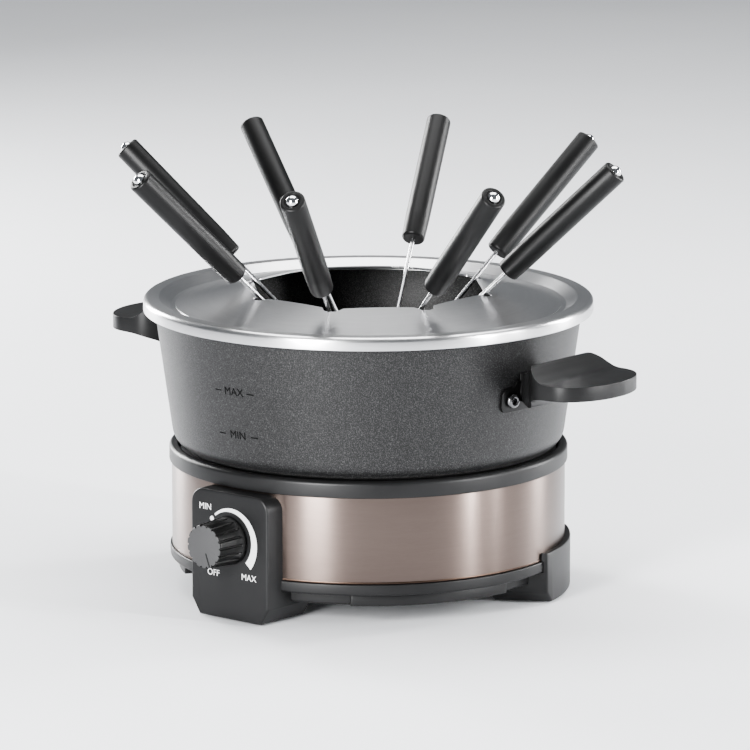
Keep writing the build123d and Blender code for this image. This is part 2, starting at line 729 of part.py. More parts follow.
for side_name, side_angle in {"right": 0, "left": 180}.items():
    plan_plane = Plane.XY.rotated((0, 0, side_angle))
    side_plane = Plane(origin=(0, 0, 0), x_dir=plan_plane.x_dir, z_dir=-plan_plane.y_dir)
    with BuildPart() as bracket:
        low, high = BRACKET_Z
        section = ring_section(
            [
                (pot_radius(low) + BRACKET_LIFT, low),
                (pot_radius(low) + BRACKET_LIFT + BRACKET_T, low),
                (pot_radius(BRACKET_TAB_Z) + BRACKET_LIFT + BRACKET_T, BRACKET_TAB_Z),
                (pot_radius(BRACKET_TAB_Z) + BRACKET_LIFT, BRACKET_TAB_Z),
            ]
        )
        revolve(section, axis=Axis.Z)
        with BuildSketch(Plane(origin=(0, 0, 0), x_dir=plan_plane.y_dir, z_dir=plan_plane.x_dir)):
            with Locations((0, (low + high) / 2)):
                RectangleRounded(BRACKET_W, high - low, 3.5)
            with Locations((0, (low + BRACKET_TAB_Z) / 2)):
                RectangleRounded(TAB_W, BRACKET_TAB_Z - low, 1.5)
        extrude(amount=130, mode=Mode.INTERSECT)
        add(rivet_holes.part, mode=Mode.SUBTRACT)
    save(bracket.part, f"handle_bracket_{side_name}")

    with BuildPart() as grip:
        extrude(handle_outline(plan_plane.offset(100)), amount=45)
        extrude(handle_side(side_plane.offset(-40)), amount=80, mode=Mode.INTERSECT)
        add(bracket_face.part, mode=Mode.SUBTRACT)
        with BuildSketch(plan_plane.offset(100)):
            with Locations((POCKET_AT, 0)):
                RectangleRounded(POCKET_L, POCKET_W, 1)
        extrude(amount=POCKET_TOP - 100, mode=Mode.SUBTRACT)
        with BuildSketch(Plane(origin=(0, 0, SCREW_Z), z_dir=plan_plane.x_dir).offset(HANDLE_START - 2)):
            Circle(SCREW_SHANK_R + SKIN)
        extrude(amount=POCKET_AT - HANDLE_START, mode=Mode.SUBTRACT)
    save(grip.part, f"handle_{side_name}")

RIVET_HEAD_R = 4.3
RIVET_HEAD_T = 2.0
RIVET_BORE = 1.5
INNER_HEAD_T = 1.2

with BuildPart() as bracket_rivets:
    for rivet_angle in RIVET_ANGLES:
        wall = Plane(origin=(0, 0, RIVET_Z), z_dir=(*polar(1, rivet_angle), 0))
        outside = pot_radius(RIVET_Z) + BRACKET_T + 0.7
        with BuildSketch(wall.offset(pot_radius(RIVET_Z) - POT_WALL - 1.8)):
            Circle(RIVET_HEAD_R)
        extrude(amount=INNER_HEAD_T)
        with BuildSketch(wall.offset(pot_radius(RIVET_Z) - POT_WALL - 1.0)):
            Circle(RIVET_SHANK_R)
        extrude(amount=POT_WALL + BRACKET_T + 3.4)
        with BuildSketch(wall.offset(outside)):
            Circle(RIVET_HEAD_R)
        extrude(amount=RIVET_HEAD_T, taper=18)
        with BuildSketch(wall.offset(outside + 0.8)):
            Circle(RIVET_BORE)
        extrude(amount=5, mode=Mode.SUBTRACT)
save(bracket_rivets.part, "bracket_rivets")

with BuildPart() as handle_screws:
    for side in (0, 180):
        along = Plane(origin=(0, 0, SCREW_Z), z_dir=(*polar(1, side), 0))
        with BuildSketch(along.offset(SCREW_AT)):
            Circle(SCREW_HEAD_R)
        extrude(amount=SCREW_HEAD_T)
        shank_start = pot_radius(SCREW_Z + SCREW_SHANK_R) + BRACKET_T + SKIN
        with BuildSketch(along.offset(shank_start)):
            Circle(SCREW_SHANK_R)
        extrude(amount=SCREW_AT + SKIN - shank_start)
        with BuildSketch(along.offset(SCREW_AT + SCREW_HEAD_T - 0.9)):
            Rectangle(0.9, 4.6)
            Rectangle(4.6, 0.9)
        extrude(amount=1.5, mode=Mode.SUBTRACT)
save(handle_screws.part, "handle_screws")

# --- fork guard ----------------------------------------------------------------------------
FACET_DROP = (HOLE_Z - CROWN_FOOT_Z) / (CROWN_R - HOLE_APOTHEM)
LAND_R = 109.6                # inner edge of the flat land
GROOVE_R = 103.8              # outer edge of the groove's floor
CORNER = 180 / FORKS


def facet_dome(radius, low, lowered):
    """Round block under the crown's eight facets, its top lowered by a given amount."""
    wide, narrow = 118.0, 40.0
    wide_z = HOLE_Z - FACET_DROP * (wide - HOLE_APOTHEM) - lowered
    narrow_z = HOLE_Z - FACET_DROP * (narrow - HOLE_APOTHEM) - lowered
    with BuildPart() as dome:
        with BuildSketch(Plane.XY.offset(wide_z)):
            RegularPolygon(wide, FORKS, major_radius=False, rotation=CORNER)
        with BuildSketch(Plane.XY.offset(narrow_z)):
            RegularPolygon(narrow, FORKS, major_radius=False, rotation=CORNER)
        loft(ruled=True)
        with BuildSketch(Plane.XY.offset(wide_z - 12)):
            RegularPolygon(wide, FORKS, major_radius=False, rotation=CORNER)
        extrude(amount=12)
        with BuildSketch(Plane.XY.offset(low)):
            Circle(radius)
        extrude(amount=narrow_z + 1 - low, mode=Mode.INTERSECT)
    return dome.part


with BuildPart() as fork_guard:
    add(facet_dome(CROWN_R, CROWN_LOW, 0))
    add(facet_dome(CROWN_R - SHEET, CROWN_LOW - 5, SHEET), mode=Mode.SUBTRACT)
    with BuildSketch(Plane.XZ):
        with BuildLine():
            FilletPolyline(
                (GUARD_R, GUARD_LOW),
                (GUARD_R, GUARD_TOP),
                (LAND_R, GUARD_TOP),
                (GROOVE_R, CROWN_LOW + SHEET),
                (CROWN_R - 0.4, CROWN_LOW + SHEET),
                radius=(2.6, 1.6, 1.0),
            )
            Line((CROWN_R - 0.4, CROWN_LOW + SHEET), (CROWN_R - 0.4, CROWN_LOW))
            FilletPolyline(
                (CROWN_R - 0.4, CROWN_LOW),
                (GROOVE_R - SHEET / 2, CROWN_LOW),
                (LAND_R - SHEET / 2, GUARD_TOP - SHEET),
                (GUARD_R - SHEET, GUARD_TOP - SHEET),
                (GUARD_R - SHEET, GUARD_LOW),
                radius=(1.8, 0.8, 1.8),
            )
            Line((GUARD_R - SHEET, GUARD_LOW), (GUARD_R, GUARD_LOW))
        make_face()
    revolve(axis=Axis.Z)
    with BuildSketch(Plane.XY.offset(140)):
        RegularPolygon(HOLE_APOTHEM, FORKS, major_radius=False, rotation=CORNER)
        with PolarLocations(NOTCH_AT, FORKS, start_angle=CORNER):
            Circle(NOTCH_R)
    extrude(amount=40, mode=Mode.SUBTRACT)
save(fork_guard.part, "fork_guard")

# --- forks ---------------------------------------------------------------------------------


def fork_plane(number):
    """Plane in the fork's flat face: origin at the notch, Y up along the shaft, X across it."""
    angle = CORNER + number * 360 / FORKS
    across = Vector(-sin(radians(angle)), cos(radians(angle)), 0)
    origin = Vector(*polar(NOTCH_AT, angle), NOTCH_Z) - across * FORK_SHIFT
    heading = radians(angle + FORK_SWIRL)
    lean = radians(FORK_LEAN)
    along = Vector(sin(lean) * cos(heading), sin(lean) * sin(heading), cos(lean))
    wide = Vector(-sin(heading), cos(heading), 0)
    return Plane(origin=origin, x_dir=wide, z_dir=wide.cross(along))


TINE_GAP = 1.4
BRIDGE = 3.5
CAP_R = 3.35
CAP_SEAT = 5.0
CAP_DOME = 2.6
SHAFT_IN_GRIP = 30.0          # length of shaft hidden in the grip

for number in range(FORKS):
    flat = fork_plane(number)
    along = Axis(flat.origin, flat.y_dir)

    with BuildPart() as fork_shaft:
        with BuildSketch(flat):
            with BuildLine():
                Polyline(
                    (0, -FORK_REACH + FORK_HEAD - 1),
                    (FORK_SHAFT_R, -FORK_REACH + FORK_HEAD - 1),
                    (FORK_SHAFT_R, GRIP_START + SHAFT_IN_GRIP),
                    (0, GRIP_START + SHAFT_IN_GRIP),
                    close=True,
                )
            make_face()
        revolve(axis=along)
        with BuildSketch(flat.offset(-FORK_HEAD_T / 2)):
            with BuildLine():
                top = -FORK_REACH + FORK_HEAD
                FilletPolyline(
                    (-FORK_SHAFT_R, top),
                    (-FORK_HEAD_W / 2, top - BRIDGE),
                    (-FORK_HEAD_W / 2, -FORK_REACH + 2),
                    (-TINE_GAP / 2 - 0.2, -FORK_REACH),
                    (-TINE_GAP / 2, top - BRIDGE - 1.5),
                    (TINE_GAP / 2, top - BRIDGE - 1.5),
                    (TINE_GAP / 2 + 0.2, -FORK_REACH),
                    (FORK_HEAD_W / 2, -FORK_REACH + 2),
                    (FORK_HEAD_W / 2, top - BRIDGE),
                    (FORK_SHAFT_R, top),
                    radius=0.2,
                    close=True,
                )
            make_face()
        extrude(amount=FORK_HEAD_T)
    save(fork_shaft.part, f"fork_{number + 1}_shaft")

    with BuildPart() as fork_handle:
        with BuildSketch(flat) as profile:
            with BuildLine():
                Polyline(
                    (FORK_SHAFT_R, GRIP_START),
                    (GRIP_R - 0.3, GRIP_START),
                    (GRIP_R, GRIP_START + 12),
                    (GRIP_R, GRIP_START + GRIP_LEN),
                    (CAP_R + 0.05, GRIP_START + GRIP_LEN),
                    (CAP_R + 0.05, GRIP_START + GRIP_LEN - CAP_SEAT),
                    (0, GRIP_START + GRIP_LEN - CAP_SEAT),
                    (0, GRIP_START + SHAFT_IN_GRIP),
                    (FORK_SHAFT_R, GRIP_START + SHAFT_IN_GRIP),
                    close=True,
                )
            make_face()
        revolve(axis=along)
        rims = fork_handle.edges().filter_by(GeomType.CIRCLE).filter_by(lambda e: e.radius > CAP_R + 1)
        fillet(rims.sort_by(Axis.Z)[0], 1.6)
        rims = fork_handle.edges().filter_by(GeomType.CIRCLE).filter_by(lambda e: e.radius > GRIP_R - 0.01)
        fillet(rims.sort_by(Axis.Z)[-1], 1.0)
    save(fork_handle.part, f"fork_{number + 1}_handle")

    cap_low = GRIP_START + GRIP_LEN - CAP_SEAT
    cap_top = GRIP_START + GRIP_LEN + CAP_DOME
    dome_r = (CAP_R**2 + CAP_DOME**2) / (2 * CAP_DOME)
    with BuildPart() as fork_cap:
        with BuildSketch(flat):
            with BuildLine():
                Polyline((0, cap_top), (0, cap_low), (CAP_R, cap_low), (CAP_R, cap_top - CAP_DOME))
                RadiusArc((CAP_R, cap_top - CAP_DOME), (0, cap_top), -dome_r)
            make_face()
        revolve(axis=along)
    save(fork_cap.part, f"fork_{number + 1}_cap")
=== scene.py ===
"""Looks of an electric fondue pot set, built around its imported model.

Metres, +Z up. The pot's axis is the Z axis, the control knob faces -Y, and the pot's handles lie
along X. Each sub-assembly is a class that holds its sizes, builds its meshes and dresses them.
"""

import logging
import math
from dataclasses import dataclass, field
from enum import Enum

import bmesh
import bpy
from mathutils import Matrix, Vector


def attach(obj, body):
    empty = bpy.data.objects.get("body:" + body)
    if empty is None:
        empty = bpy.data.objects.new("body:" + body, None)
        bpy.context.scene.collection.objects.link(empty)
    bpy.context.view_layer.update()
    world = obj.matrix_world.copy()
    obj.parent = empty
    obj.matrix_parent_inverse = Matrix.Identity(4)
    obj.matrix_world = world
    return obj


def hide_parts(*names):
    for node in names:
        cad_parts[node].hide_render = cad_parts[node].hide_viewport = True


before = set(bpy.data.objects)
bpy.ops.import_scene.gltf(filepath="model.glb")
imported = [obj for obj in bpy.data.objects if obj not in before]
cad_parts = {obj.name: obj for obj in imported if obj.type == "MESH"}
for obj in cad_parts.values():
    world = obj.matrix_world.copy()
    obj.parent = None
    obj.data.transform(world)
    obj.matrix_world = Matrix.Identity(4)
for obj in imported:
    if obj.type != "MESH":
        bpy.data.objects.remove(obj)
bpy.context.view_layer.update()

log = logging.getLogger("fondue")

Point2 = tuple[float, float]
Colour = tuple[float, float, float]


# --- shader building ----------------------------------------------------------------------


class Wire:
    """One output socket, with Python operators that add Math nodes."""

    def __init__(self, shader: "Shader", socket: bpy.types.NodeSocket) -> None:
        """Keep the shader that owns the socket, and the socket."""
        self.shader = shader
        self.socket = socket

    def _math(self, operation: str, *terms: object) -> "Wire":
        """Add one Math node.

        Args:
            operation: the node's operation.
            terms: its inputs, wires or numbers.

        Returns:
            The node's result.
        """
        return self.shader.node("ShaderNodeMath", {"operation": operation}, dict(enumerate(terms)))

    def __add__(self, other: object) -> "Wire":
        """Sum."""
        return self._math("ADD", self, other)

    __radd__ = __add__

    def __sub__(self, other: object) -> "Wire":
        """Difference."""
        return self._math("SUBTRACT", self, other)

    def __mul__(self, other: object) -> "Wire":
        """Product."""
        return self._math("MULTIPLY", self, other)

    def root(self) -> "Wire":
        """Square root."""
        return self._math("SQRT", self)

    def angle_from(self, other: "Wire") -> "Wire":
        """Angle of the point whose Y is this wire and whose X is the other."""
        return self._math("ARCTAN2", self, other)

    def band(self, low: float, high: float) -> "Wire":
        """Smooth ramp from 0 at low to 1 at high, held flat outside."""
        limits = {"Value": self, "From Min": low, "From Max": high}
        return self.shader.node("ShaderNodeMapRange", {"interpolation_type": "SMOOTHSTEP"}, limits)


class Shader:
    """Node tree of one material with a single Principled surface."""

    def __init__(self, name: str) -> None:
        """Start an empty material.

        Args:
            name: the material's name.
        """
        self.material = bpy.data.materials.new(name)
        self.material.use_nodes = True
        self.tree = self.material.node_tree
        self.tree.nodes.clear()
        self.place = self.node("ShaderNodeTexCoord", out="Object")

    def node(
        self, kind: str, settings: dict | None = None, inputs: dict | None = None, out: object = 0
    ) -> Wire:
        """Add any node.

        Args:
            kind: the node's type.
            settings: properties set before its sockets.
            inputs: numbers, colours or wires by socket name or number.
            out: the output that is wanted, by name or number.

        Returns:
            That output.
        """
        made = self.tree.nodes.new(kind)
        for key, value in (settings or {}).items():
            setattr(made, key, value)
        for key, value in (inputs or {}).items():
            if isinstance(value, Wire):
                self.tree.links.new(value.socket, made.inputs[key])
            else:
                made.inputs[key].default_value = value
        return Wire(self, made.outputs[out])

    def noise(self, scale: float, detail: float = 2.0, stretch: Colour = (1, 1, 1)) -> Wire:
        """Noise over the piece.

        Args:
            scale: features per metre.
            detail: octaves of finer noise.
            stretch: how much finer the noise is along X, Y and Z.

        Returns:
            Values around one half.
        """
        spread = self.node("ShaderNodeMapping", {}, {"Vector": self.place, "Scale": stretch})
        return self.node("ShaderNodeTexNoise", {}, {"Vector": spread, "Scale": scale, "Detail": detail}, "Fac")

    def blend(self, share: Wire, first: Colour, second: Colour) -> Wire:
        """Mix of two colours by a wire from 0 to 1."""
        picks = {0: share, 6: (*first, 1.0), 7: (*second, 1.0)}
        return self.node("ShaderNodeMix", {"data_type": "RGBA"}, picks, 2)

    def relief(self, height: Wire, depth: float) -> Wire:
        """Normal bent by a height wire; depth is the relief's depth in metres."""
        return self.node("ShaderNodeBump", {}, {"Height": height, "Distance": depth, "Strength": 1.0})

    def surface(self, **sockets: object) -> bpy.types.Material:
        """Finish with a Principled surface.

        Args:
            sockets: its inputs by name, with underscores for spaces.

        Returns:
            The material.
        """
        named = {key.replace("_", " "): value for key, value in sockets.items()}
        skin = self.node("ShaderNodeBsdfPrincipled", {}, named)
        end = self.tree.nodes.new("ShaderNodeOutputMaterial")
        self.tree.links.new(skin.socket, end.inputs["Surface"])
        return self.material


# --- finishes -----------------------------------------------------------------------------


@dataclass(frozen=True)
class Finish:
    """A finish with its name and the record's material slot."""

    name: str
    slot: str

    def material(self) -> bpy.types.Material:
        """The finish's material, made once."""
        known = bpy.data.materials.get(self.name)
        return known if known else self.make(Shader(self.name))

    def make(self, shader: Shader) -> bpy.types.Material:
        """Build the material's nodes."""
        raise NotImplementedError


@dataclass(frozen=True)
class Moulded(Finish):
    """Moulded plastic or rubber with a fine spark-eroded grain."""

    colour: Colour = (0.02, 0.02, 0.021)
    roughness: float = 0.42
    grain: float = 2600.0
    depth: float = 0.000008
    specular: float = 0.28

    def make(self, shader: Shader) -> bpy.types.Material:
        """Grain, faint handling sheen and a little tone variation."""
        grain = shader.noise(self.grain, 3.0)
        cloud = shader.noise(38.0, 3.0)
        tone = cloud.band(0.3, 0.7)
        lighter = tuple(min(1.0, c * 1.16 + 0.0015) for c in self.colour)
        return shader.surface(
            Base_Color=shader.blend(tone, self.colour, lighter),
            Roughness=self.roughness + (cloud - 0.5) * 0.12 + (grain - 0.5) * 0.06,
            Normal=shader.relief(grain, self.depth),
            Specular_IOR_Level=self.specular,
        )


class Grain(Enum):
    """Which way a sheet was brushed."""

    ROUND = "round the Z axis"
    ALONG_X = "along X"


@dataclass(frozen=True)
class Brushed(Finish):
    """Brushed stainless sheet: fine parallel scratches that stretch the highlights across them."""

    colour: Colour = (0.6, 0.6, 0.61)
    roughness: float = 0.28
    anisotropy: float = 0.6
    lines: float = 1500.0
    contrast: float = 0.06
    grain: Grain = Grain.ROUND

    def make(self, shader: Shader) -> bpy.types.Material:
        """Scratches as noise that is long along the brushing and fine across it."""
        parts = shader.node("ShaderNodeSeparateXYZ", {}, {0: shader.place})
        x = parts
        y = Wire(shader, parts.socket.node.outputs[1])
        z = Wire(shader, parts.socket.node.outputs[2])
        if self.grain is Grain.ROUND:
            along = y.angle_from(x) * 0.05
            across = (x * x + y * y).root()
        else:
            along = x
            across = y
        axes = {0: along * 0.18 * self.lines, 1: across * self.lines, 2: z * self.lines}
        stretched = shader.node("ShaderNodeCombineXYZ", {}, axes)
        fine = shader.node("ShaderNodeTexNoise", {}, {"Vector": stretched, "Scale": 1.0, "Detail": 4.0}, "Fac")
        wide = shader.node("ShaderNodeTexNoise", {}, {"Vector": stretched, "Scale": 0.16, "Detail": 2.0}, "Fac")
        tone = fine.band(0.25, 0.75) * 0.6 + wide.band(0.3, 0.7) * 0.4
        darker = tuple(c * (1 - self.contrast) for c in self.colour)
        lighter = tuple(min(1.0, c * (1 + self.contrast)) for c in self.colour)
        return shader.surface(
            Base_Color=shader.blend(tone, darker, lighter),
            Metallic=1.0,
            Roughness=self.roughness + (fine - 0.5) * 0.05,
            Anisotropic=self.anisotropy,
            Anisotropic_Rotation=0.25,
            Normal=shader.relief(fine, 0.0000002),
        )


@dataclass(frozen=True)
class Speckled(Finish):
    """Non-stick or enamel coating with fine pale flakes in a dark ground."""

    ground: Colour = (0.02, 0.02, 0.021)
    flake: Colour = (0.2, 0.2, 0.205)
    roughness: float = 0.42
    share: float = 0.58

    def make(self, shader: Shader) -> bpy.types.Material:
        """Two sizes of flake over a slightly rough ground."""
        small = shader.noise(2300.0, 2.0)
        large = shader.noise(1150.0, 1.0)
        cloud = shader.noise(30.0, 2.0)
        flakes = small.band(self.share - 0.08, self.share + 0.1) * 0.75 + large.band(0.6, 0.72) * 0.45
        return shader.surface(
            Base_Color=shader.blend(flakes, self.ground, self.flake),
            Roughness=self.roughness + (small - 0.5) * 0.25 + (cloud - 0.5) * 0.06,
            Normal=shader.relief(small, 0.00009),
            Specular_IOR_Level=0.35,
        )


@dataclass(frozen=True)
class Polished(Finish):
    """Polished or plated steel with faint wiping marks."""

    colour: Colour = (0.72, 0.72, 0.73)
    roughness: float = 0.12

    def make(self, shader: Shader) -> bpy.types.Material:
        """Bright metal whose gloss varies a little."""
        marks = shader.noise(900.0, 4.0, (1.0, 1.0, 0.15))
        cloud = shader.noise(60.0, 3.0)
        dull = tuple(c * 0.93 for c in self.colour)
        return shader.surface(
            Base_Color=shader.blend(cloud.band(0.35, 0.7), dull, self.colour),
            Metallic=1.0,
            Roughness=self.roughness + (marks - 0.5) * 0.1,
            Normal=shader.relief(marks, 0.0000004),
        )


@dataclass(frozen=True)
class Cast(Finish):
    """Cast or sintered surface: metal or ceramic with a grainy skin."""

    colour: Colour = (0.5, 0.5, 0.51)
    roughness: float = 0.5
    metallic: float = 1.0

    def make(self, shader: Shader) -> bpy.types.Material:
        """Coarse grain over broad clouds."""
        grain = shader.noise(1400.0, 4.0)
        cloud = shader.noise(45.0, 4.0)
        dark = tuple(c * 0.78 for c in self.colour)
        return shader.surface(
            Base_Color=shader.blend(cloud.band(0.3, 0.7), dark, self.colour),
            Metallic=self.metallic,
            Roughness=self.roughness + (grain - 0.5) * 0.2,
            Normal=shader.relief(grain, 0.00003),
        )


@dataclass(frozen=True)
class Printed(Finish):
    """Pad-printed ink, slightly uneven at its edges of cover."""

    colour: Colour = (0.75, 0.75, 0.75)
    roughness: float = 0.5

    def make(self, shader: Shader) -> bpy.types.Material:
        """Ink whose cover thins a little."""
        cover = shader.noise(1800.0, 3.0)
        thin = tuple(c * 0.86 for c in self.colour)
        return shader.surface(
            Base_Color=shader.blend(cover.band(0.25, 0.5), thin, self.colour),
            Roughness=self.roughness + (cover - 0.5) * 0.1,
            Normal=shader.relief(cover, 0.000006),
        )


PLASTIC = Moulded("black_moulding", "black_plastic", (0.0075, 0.0075, 0.0078), 0.40)
PANEL = Moulded("panel_moulding", "panel_plastic", (0.010, 0.010, 0.0104), 0.42)
KNOB = Moulded("knob_moulding", "knob_plastic", (0.0025, 0.0025, 0.0025), 0.38)
KNOB_FACE = Moulded("knob_face", "knob_plastic", (0.05, 0.05, 0.051), 0.6)
POINTER = Moulded("pointer_ink", "knob_plastic", (0.0015, 0.0015, 0.0015), 0.5)
GRIP = Moulded("handle_moulding", "handle_plastic", (0.0065, 0.0065, 0.0067), 0.42)
FORK_GRIP = Moulded("fork_grip_moulding", "fork_plastic", (0.0025, 0.0025, 0.0026), 0.42)
RUBBER = Moulded("foot_rubber", "rubber", (0.006, 0.006, 0.006), 0.75, 1500.0, 0.00005, 0.2)
BAND = Brushed("champagne_steel", "band_steel", (0.17, 0.135, 0.12), 0.32, 0.95, 3000.0, 0.04)
BAND_EDGE = Brushed("bronze_edge", "band_steel", (0.07, 0.048, 0.038), 0.35, 0.3, 3000.0, 0.05)
GUARD = Brushed("brushed_stainless", "guard_steel", (0.62, 0.62, 0.625), 0.29, 0.6, 1900.0, 0.05)
COAT_OUT = Speckled("outer_coating", "pot_coating", (0.0050, 0.0050, 0.0052), (0.050, 0.050, 0.051), 0.40, 0.56)
COAT_IN = Speckled("inner_coating", "pot_coating", (0.008, 0.008, 0.008), (0.10, 0.10, 0.10), 0.45, 0.545)
# Level marks: near-black painted shade that stands in for the shadow inside engraved letters and dashes; the
# marks themselves are raised.
LEVEL_MARK_SHADE = Moulded("level_mark_painted_shade", "pot_coating", (0.001, 0.001, 0.001), 0.7, specular=0.15)
ENAMEL = Moulded("strap_enamel", "bracket_steel", (0.004, 0.004, 0.004), 0.32)
RIVET = Polished("rivet_nickel", "rivet_steel", (0.16, 0.16, 0.165), 0.2)
CHROME = Polished("cap_chrome_plate", "cap_chrome", (0.78, 0.78, 0.79), 0.07)
WIRE_STEEL = Polished("fork_stainless", "fork_steel", (0.60, 0.60, 0.61), 0.28)
ZINC = Polished("zinc_plate", "zinc_steel", (0.50, 0.50, 0.49), 0.3)
ALUMINIUM = Cast("cast_aluminium_skin", "cast_aluminium", (0.42, 0.42, 0.43), 0.42)
SHEET = Cast("aluminised_sheet", "sheet_aluminium", (0.55, 0.55, 0.56), 0.38)
SHEATH = Cast("element_sheath", "element_steel", (0.12, 0.115, 0.105), 0.55)
CERAMIC = Cast("heat_proof_block", "ceramic", (0.50, 0.46, 0.39), 0.7, 0.0)
INK = Printed("dial_ink", "panel_plastic", (0.72, 0.72, 0.72))


# --- mesh tools ---------------------------------------------------------------------------


def rounded(points: list[Point2], radii: dict[int, float], steps: int = 6, closed: bool = True) -> list[Point2]:
    """Round some corners of a flat outline.

    Args:
        points: the outline's corners in order.
        radii: rounding radius by corner number.
        steps: segments in each rounded corner.
        closed: whether the last point joins the first.

    Returns:
        The outline with arcs at those corners.
    """
    out: list[Point2] = []
    count = len(points)
    for i, here in enumerate(points):
        radius = radii.get(i, 0.0)
        if radius == 0.0 or (not closed and i in (0, count - 1)):
            out.append(here)
            continue
        corner = Vector(here)
        back = (Vector(points[i - 1]) - corner).normalized()
        ahead = (Vector(points[(i + 1) % count]) - corner).normalized()
        half = back.angle(ahead) / 2
        centre = corner + (back + ahead).normalized() * (radius / math.sin(half))
        reach = radius / math.tan(half)
        first = corner + back * reach - centre
        last = corner + ahead * reach - centre
        turn = first.angle_signed(last)
        for step in range(steps + 1):
            spot = centre + Matrix.Rotation(-turn * step / steps, 2) @ first
            out.append((spot.x, spot.y))
    return out


def smooth(value: float, low: float, high: float) -> float:
    """Smooth step from 0 at low to 1 at high."""
    share = min(1.0, max(0.0, (value - low) / (high - low)))
    return share * share * (3 - 2 * share)


def through(knots: list[Point2], at: float) -> float:
    """Height at a place on a Catmull-Rom line through knots that are in order."""
    last = len(knots) - 2
    i = next((n for n in range(last + 1) if at <= knots[n + 1][0]), last)
    (x1, y1), (x2, y2) = knots[i], knots[i + 1]
    x0, y0 = knots[i - 1] if i else (2 * x1 - x2, 2 * y1 - y2)
    x3, y3 = knots[i + 2] if i < last else (2 * x2 - x1, 2 * y2 - y1)
    width = x2 - x1
    slope1 = (y2 - y0) / (x2 - x0) * width
    slope2 = (y3 - y1) / (x3 - x1) * width
    t = (at - x1) / width
    return (
        (2 * t**3 - 3 * t**2 + 1) * y1
        + (t**3 - 2 * t**2 + t) * slope1
        + (3 * t**2 - 2 * t**3) * y2
        + (t**3 - t**2) * slope2
    )


def turned(
    profile: list[Point2], steps: int = 160, closed: bool = True, sweep: float = 360.0, start: float = 0.0
) -> bmesh.types.BMesh:
    """Turn an outline of radius and height about the Z axis.

    Args:
        profile: the outline's points.
        steps: segments round the axis.
        closed: whether the outline is a loop.
        sweep: degrees turned.
        start: polar angle of the first section, in degrees.

    Returns:
        A bmesh, closed where the outline is closed or ends on the axis.
    """
    bm = bmesh.new()
    base = Matrix.Rotation(math.radians(start), 3, "Z")
    verts = [bm.verts.new(base @ Vector((r, 0, z))) for r, z in profile]
    edges = [bm.edges.new(pair) for pair in zip(verts, verts[1:])]
    if closed:
        edges.append(bm.edges.new((verts[-1], verts[0])))
    whole = sweep >= 360.0
    if closed and not whole:
        bm.faces.new(verts)
    bmesh.ops.spin(
        bm,
        geom=verts + edges + list(bm.faces),
        axis=(0, 0, 1),
        cent=(0, 0, 0),
        angle=math.radians(sweep),
        steps=steps,
        use_merge=whole,
    )
    if closed and not whole:
        ends = [e for e in bm.edges if e.is_boundary]
        if ends:
            bmesh.ops.holes_fill(bm, edges=ends, sides=len(profile))
    bmesh.ops.remove_doubles(bm, verts=bm.verts, dist=1e-6)
    bmesh.ops.recalc_face_normals(bm, faces=bm.faces)
    return bm


def lofted(loops: list[list[Vector]]) -> bmesh.types.BMesh:
    """Skin a row of closed loops that have equal counts, and close both ends.

    Args:
        loops: the sections' points, in order.

    Returns:
        A closed bmesh.
    """
    bm = bmesh.new()
    rings = []
    for loop in loops:
        verts = [bm.verts.new(p) for p in loop]
        rings.append([bm.edges.new(pair) for pair in zip(verts, verts[1:] + verts[:1])])
    for low, high in zip(rings, rings[1:]):
        bmesh.ops.bridge_loops(bm, edges=low + high)
    bmesh.ops.holes_fill(bm, edges=[e for e in bm.edges if e.is_boundary], sides=len(loops[0]))
    bmesh.ops.recalc_face_normals(bm, faces=bm.faces)
    return bm


def prism(outline: list[Point2], low: float, high: float) -> bmesh.types.BMesh:
    """Raise a flat outline from one height to another.

    Args:
        outline: its points in the XY plane.
        low: the lower height.
        high: the upper height.

    Returns:
        A closed bmesh.
    """
    bm = bmesh.new()
    face = bm.faces.new([bm.verts.new((x, y, low)) for x, y in outline])
    grown = bmesh.ops.extrude_face_region(bm, geom=[face])["geom"]
    moved = [g for g in grown if isinstance(g, bmesh.types.BMVert)]
    bmesh.ops.translate(bm, verts=moved, vec=(0, 0, high - low))
    bmesh.ops.recalc_face_normals(bm, faces=bm.faces)
    return bm


def soften(bm: bmesh.types.BMesh, width: float, segments: int = 3, angle: float = 40.0, keep=None) -> None:
    """Bevel the sharp edges of a bmesh.

    Args:
        bm: the mesh.
        width: the bevel's width.
        segments: its segments.
        angle: edges that turn by more degrees than this are bevelled.
        keep: test that an edge must also pass, or None.
    """
    limit = math.radians(angle)
    sharp = [e for e in bm.edges if e.is_manifold and e.calc_face_angle(0.0) > limit]
    edges = [e for e in sharp if keep is None or keep(e)]
    bmesh.ops.bevel(
        bm,
        geom=edges,
        offset=width,
        offset_type="OFFSET",
        affect="EDGES",
        segments=segments,
        profile=0.5,
        material=-1,
        clamp_overlap=True,
    )


def slice_off(bm: bmesh.types.BMesh, point: tuple, normal: tuple) -> None:
    """Cut away what lies on the side that the normal points to, and close the cut."""
    geom = list(bm.verts) + list(bm.edges) + list(bm.faces)
    cut = bmesh.ops.bisect_plane(bm, geom=geom, dist=1e-7, plane_co=point, plane_no=normal, clear_outer=True)
    edges = [g for g in cut["geom_cut"] if isinstance(g, bmesh.types.BMEdge)]
    bmesh.ops.holes_fill(bm, edges=edges, sides=0)
    bmesh.ops.recalc_face_normals(bm, faces=bm.faces)


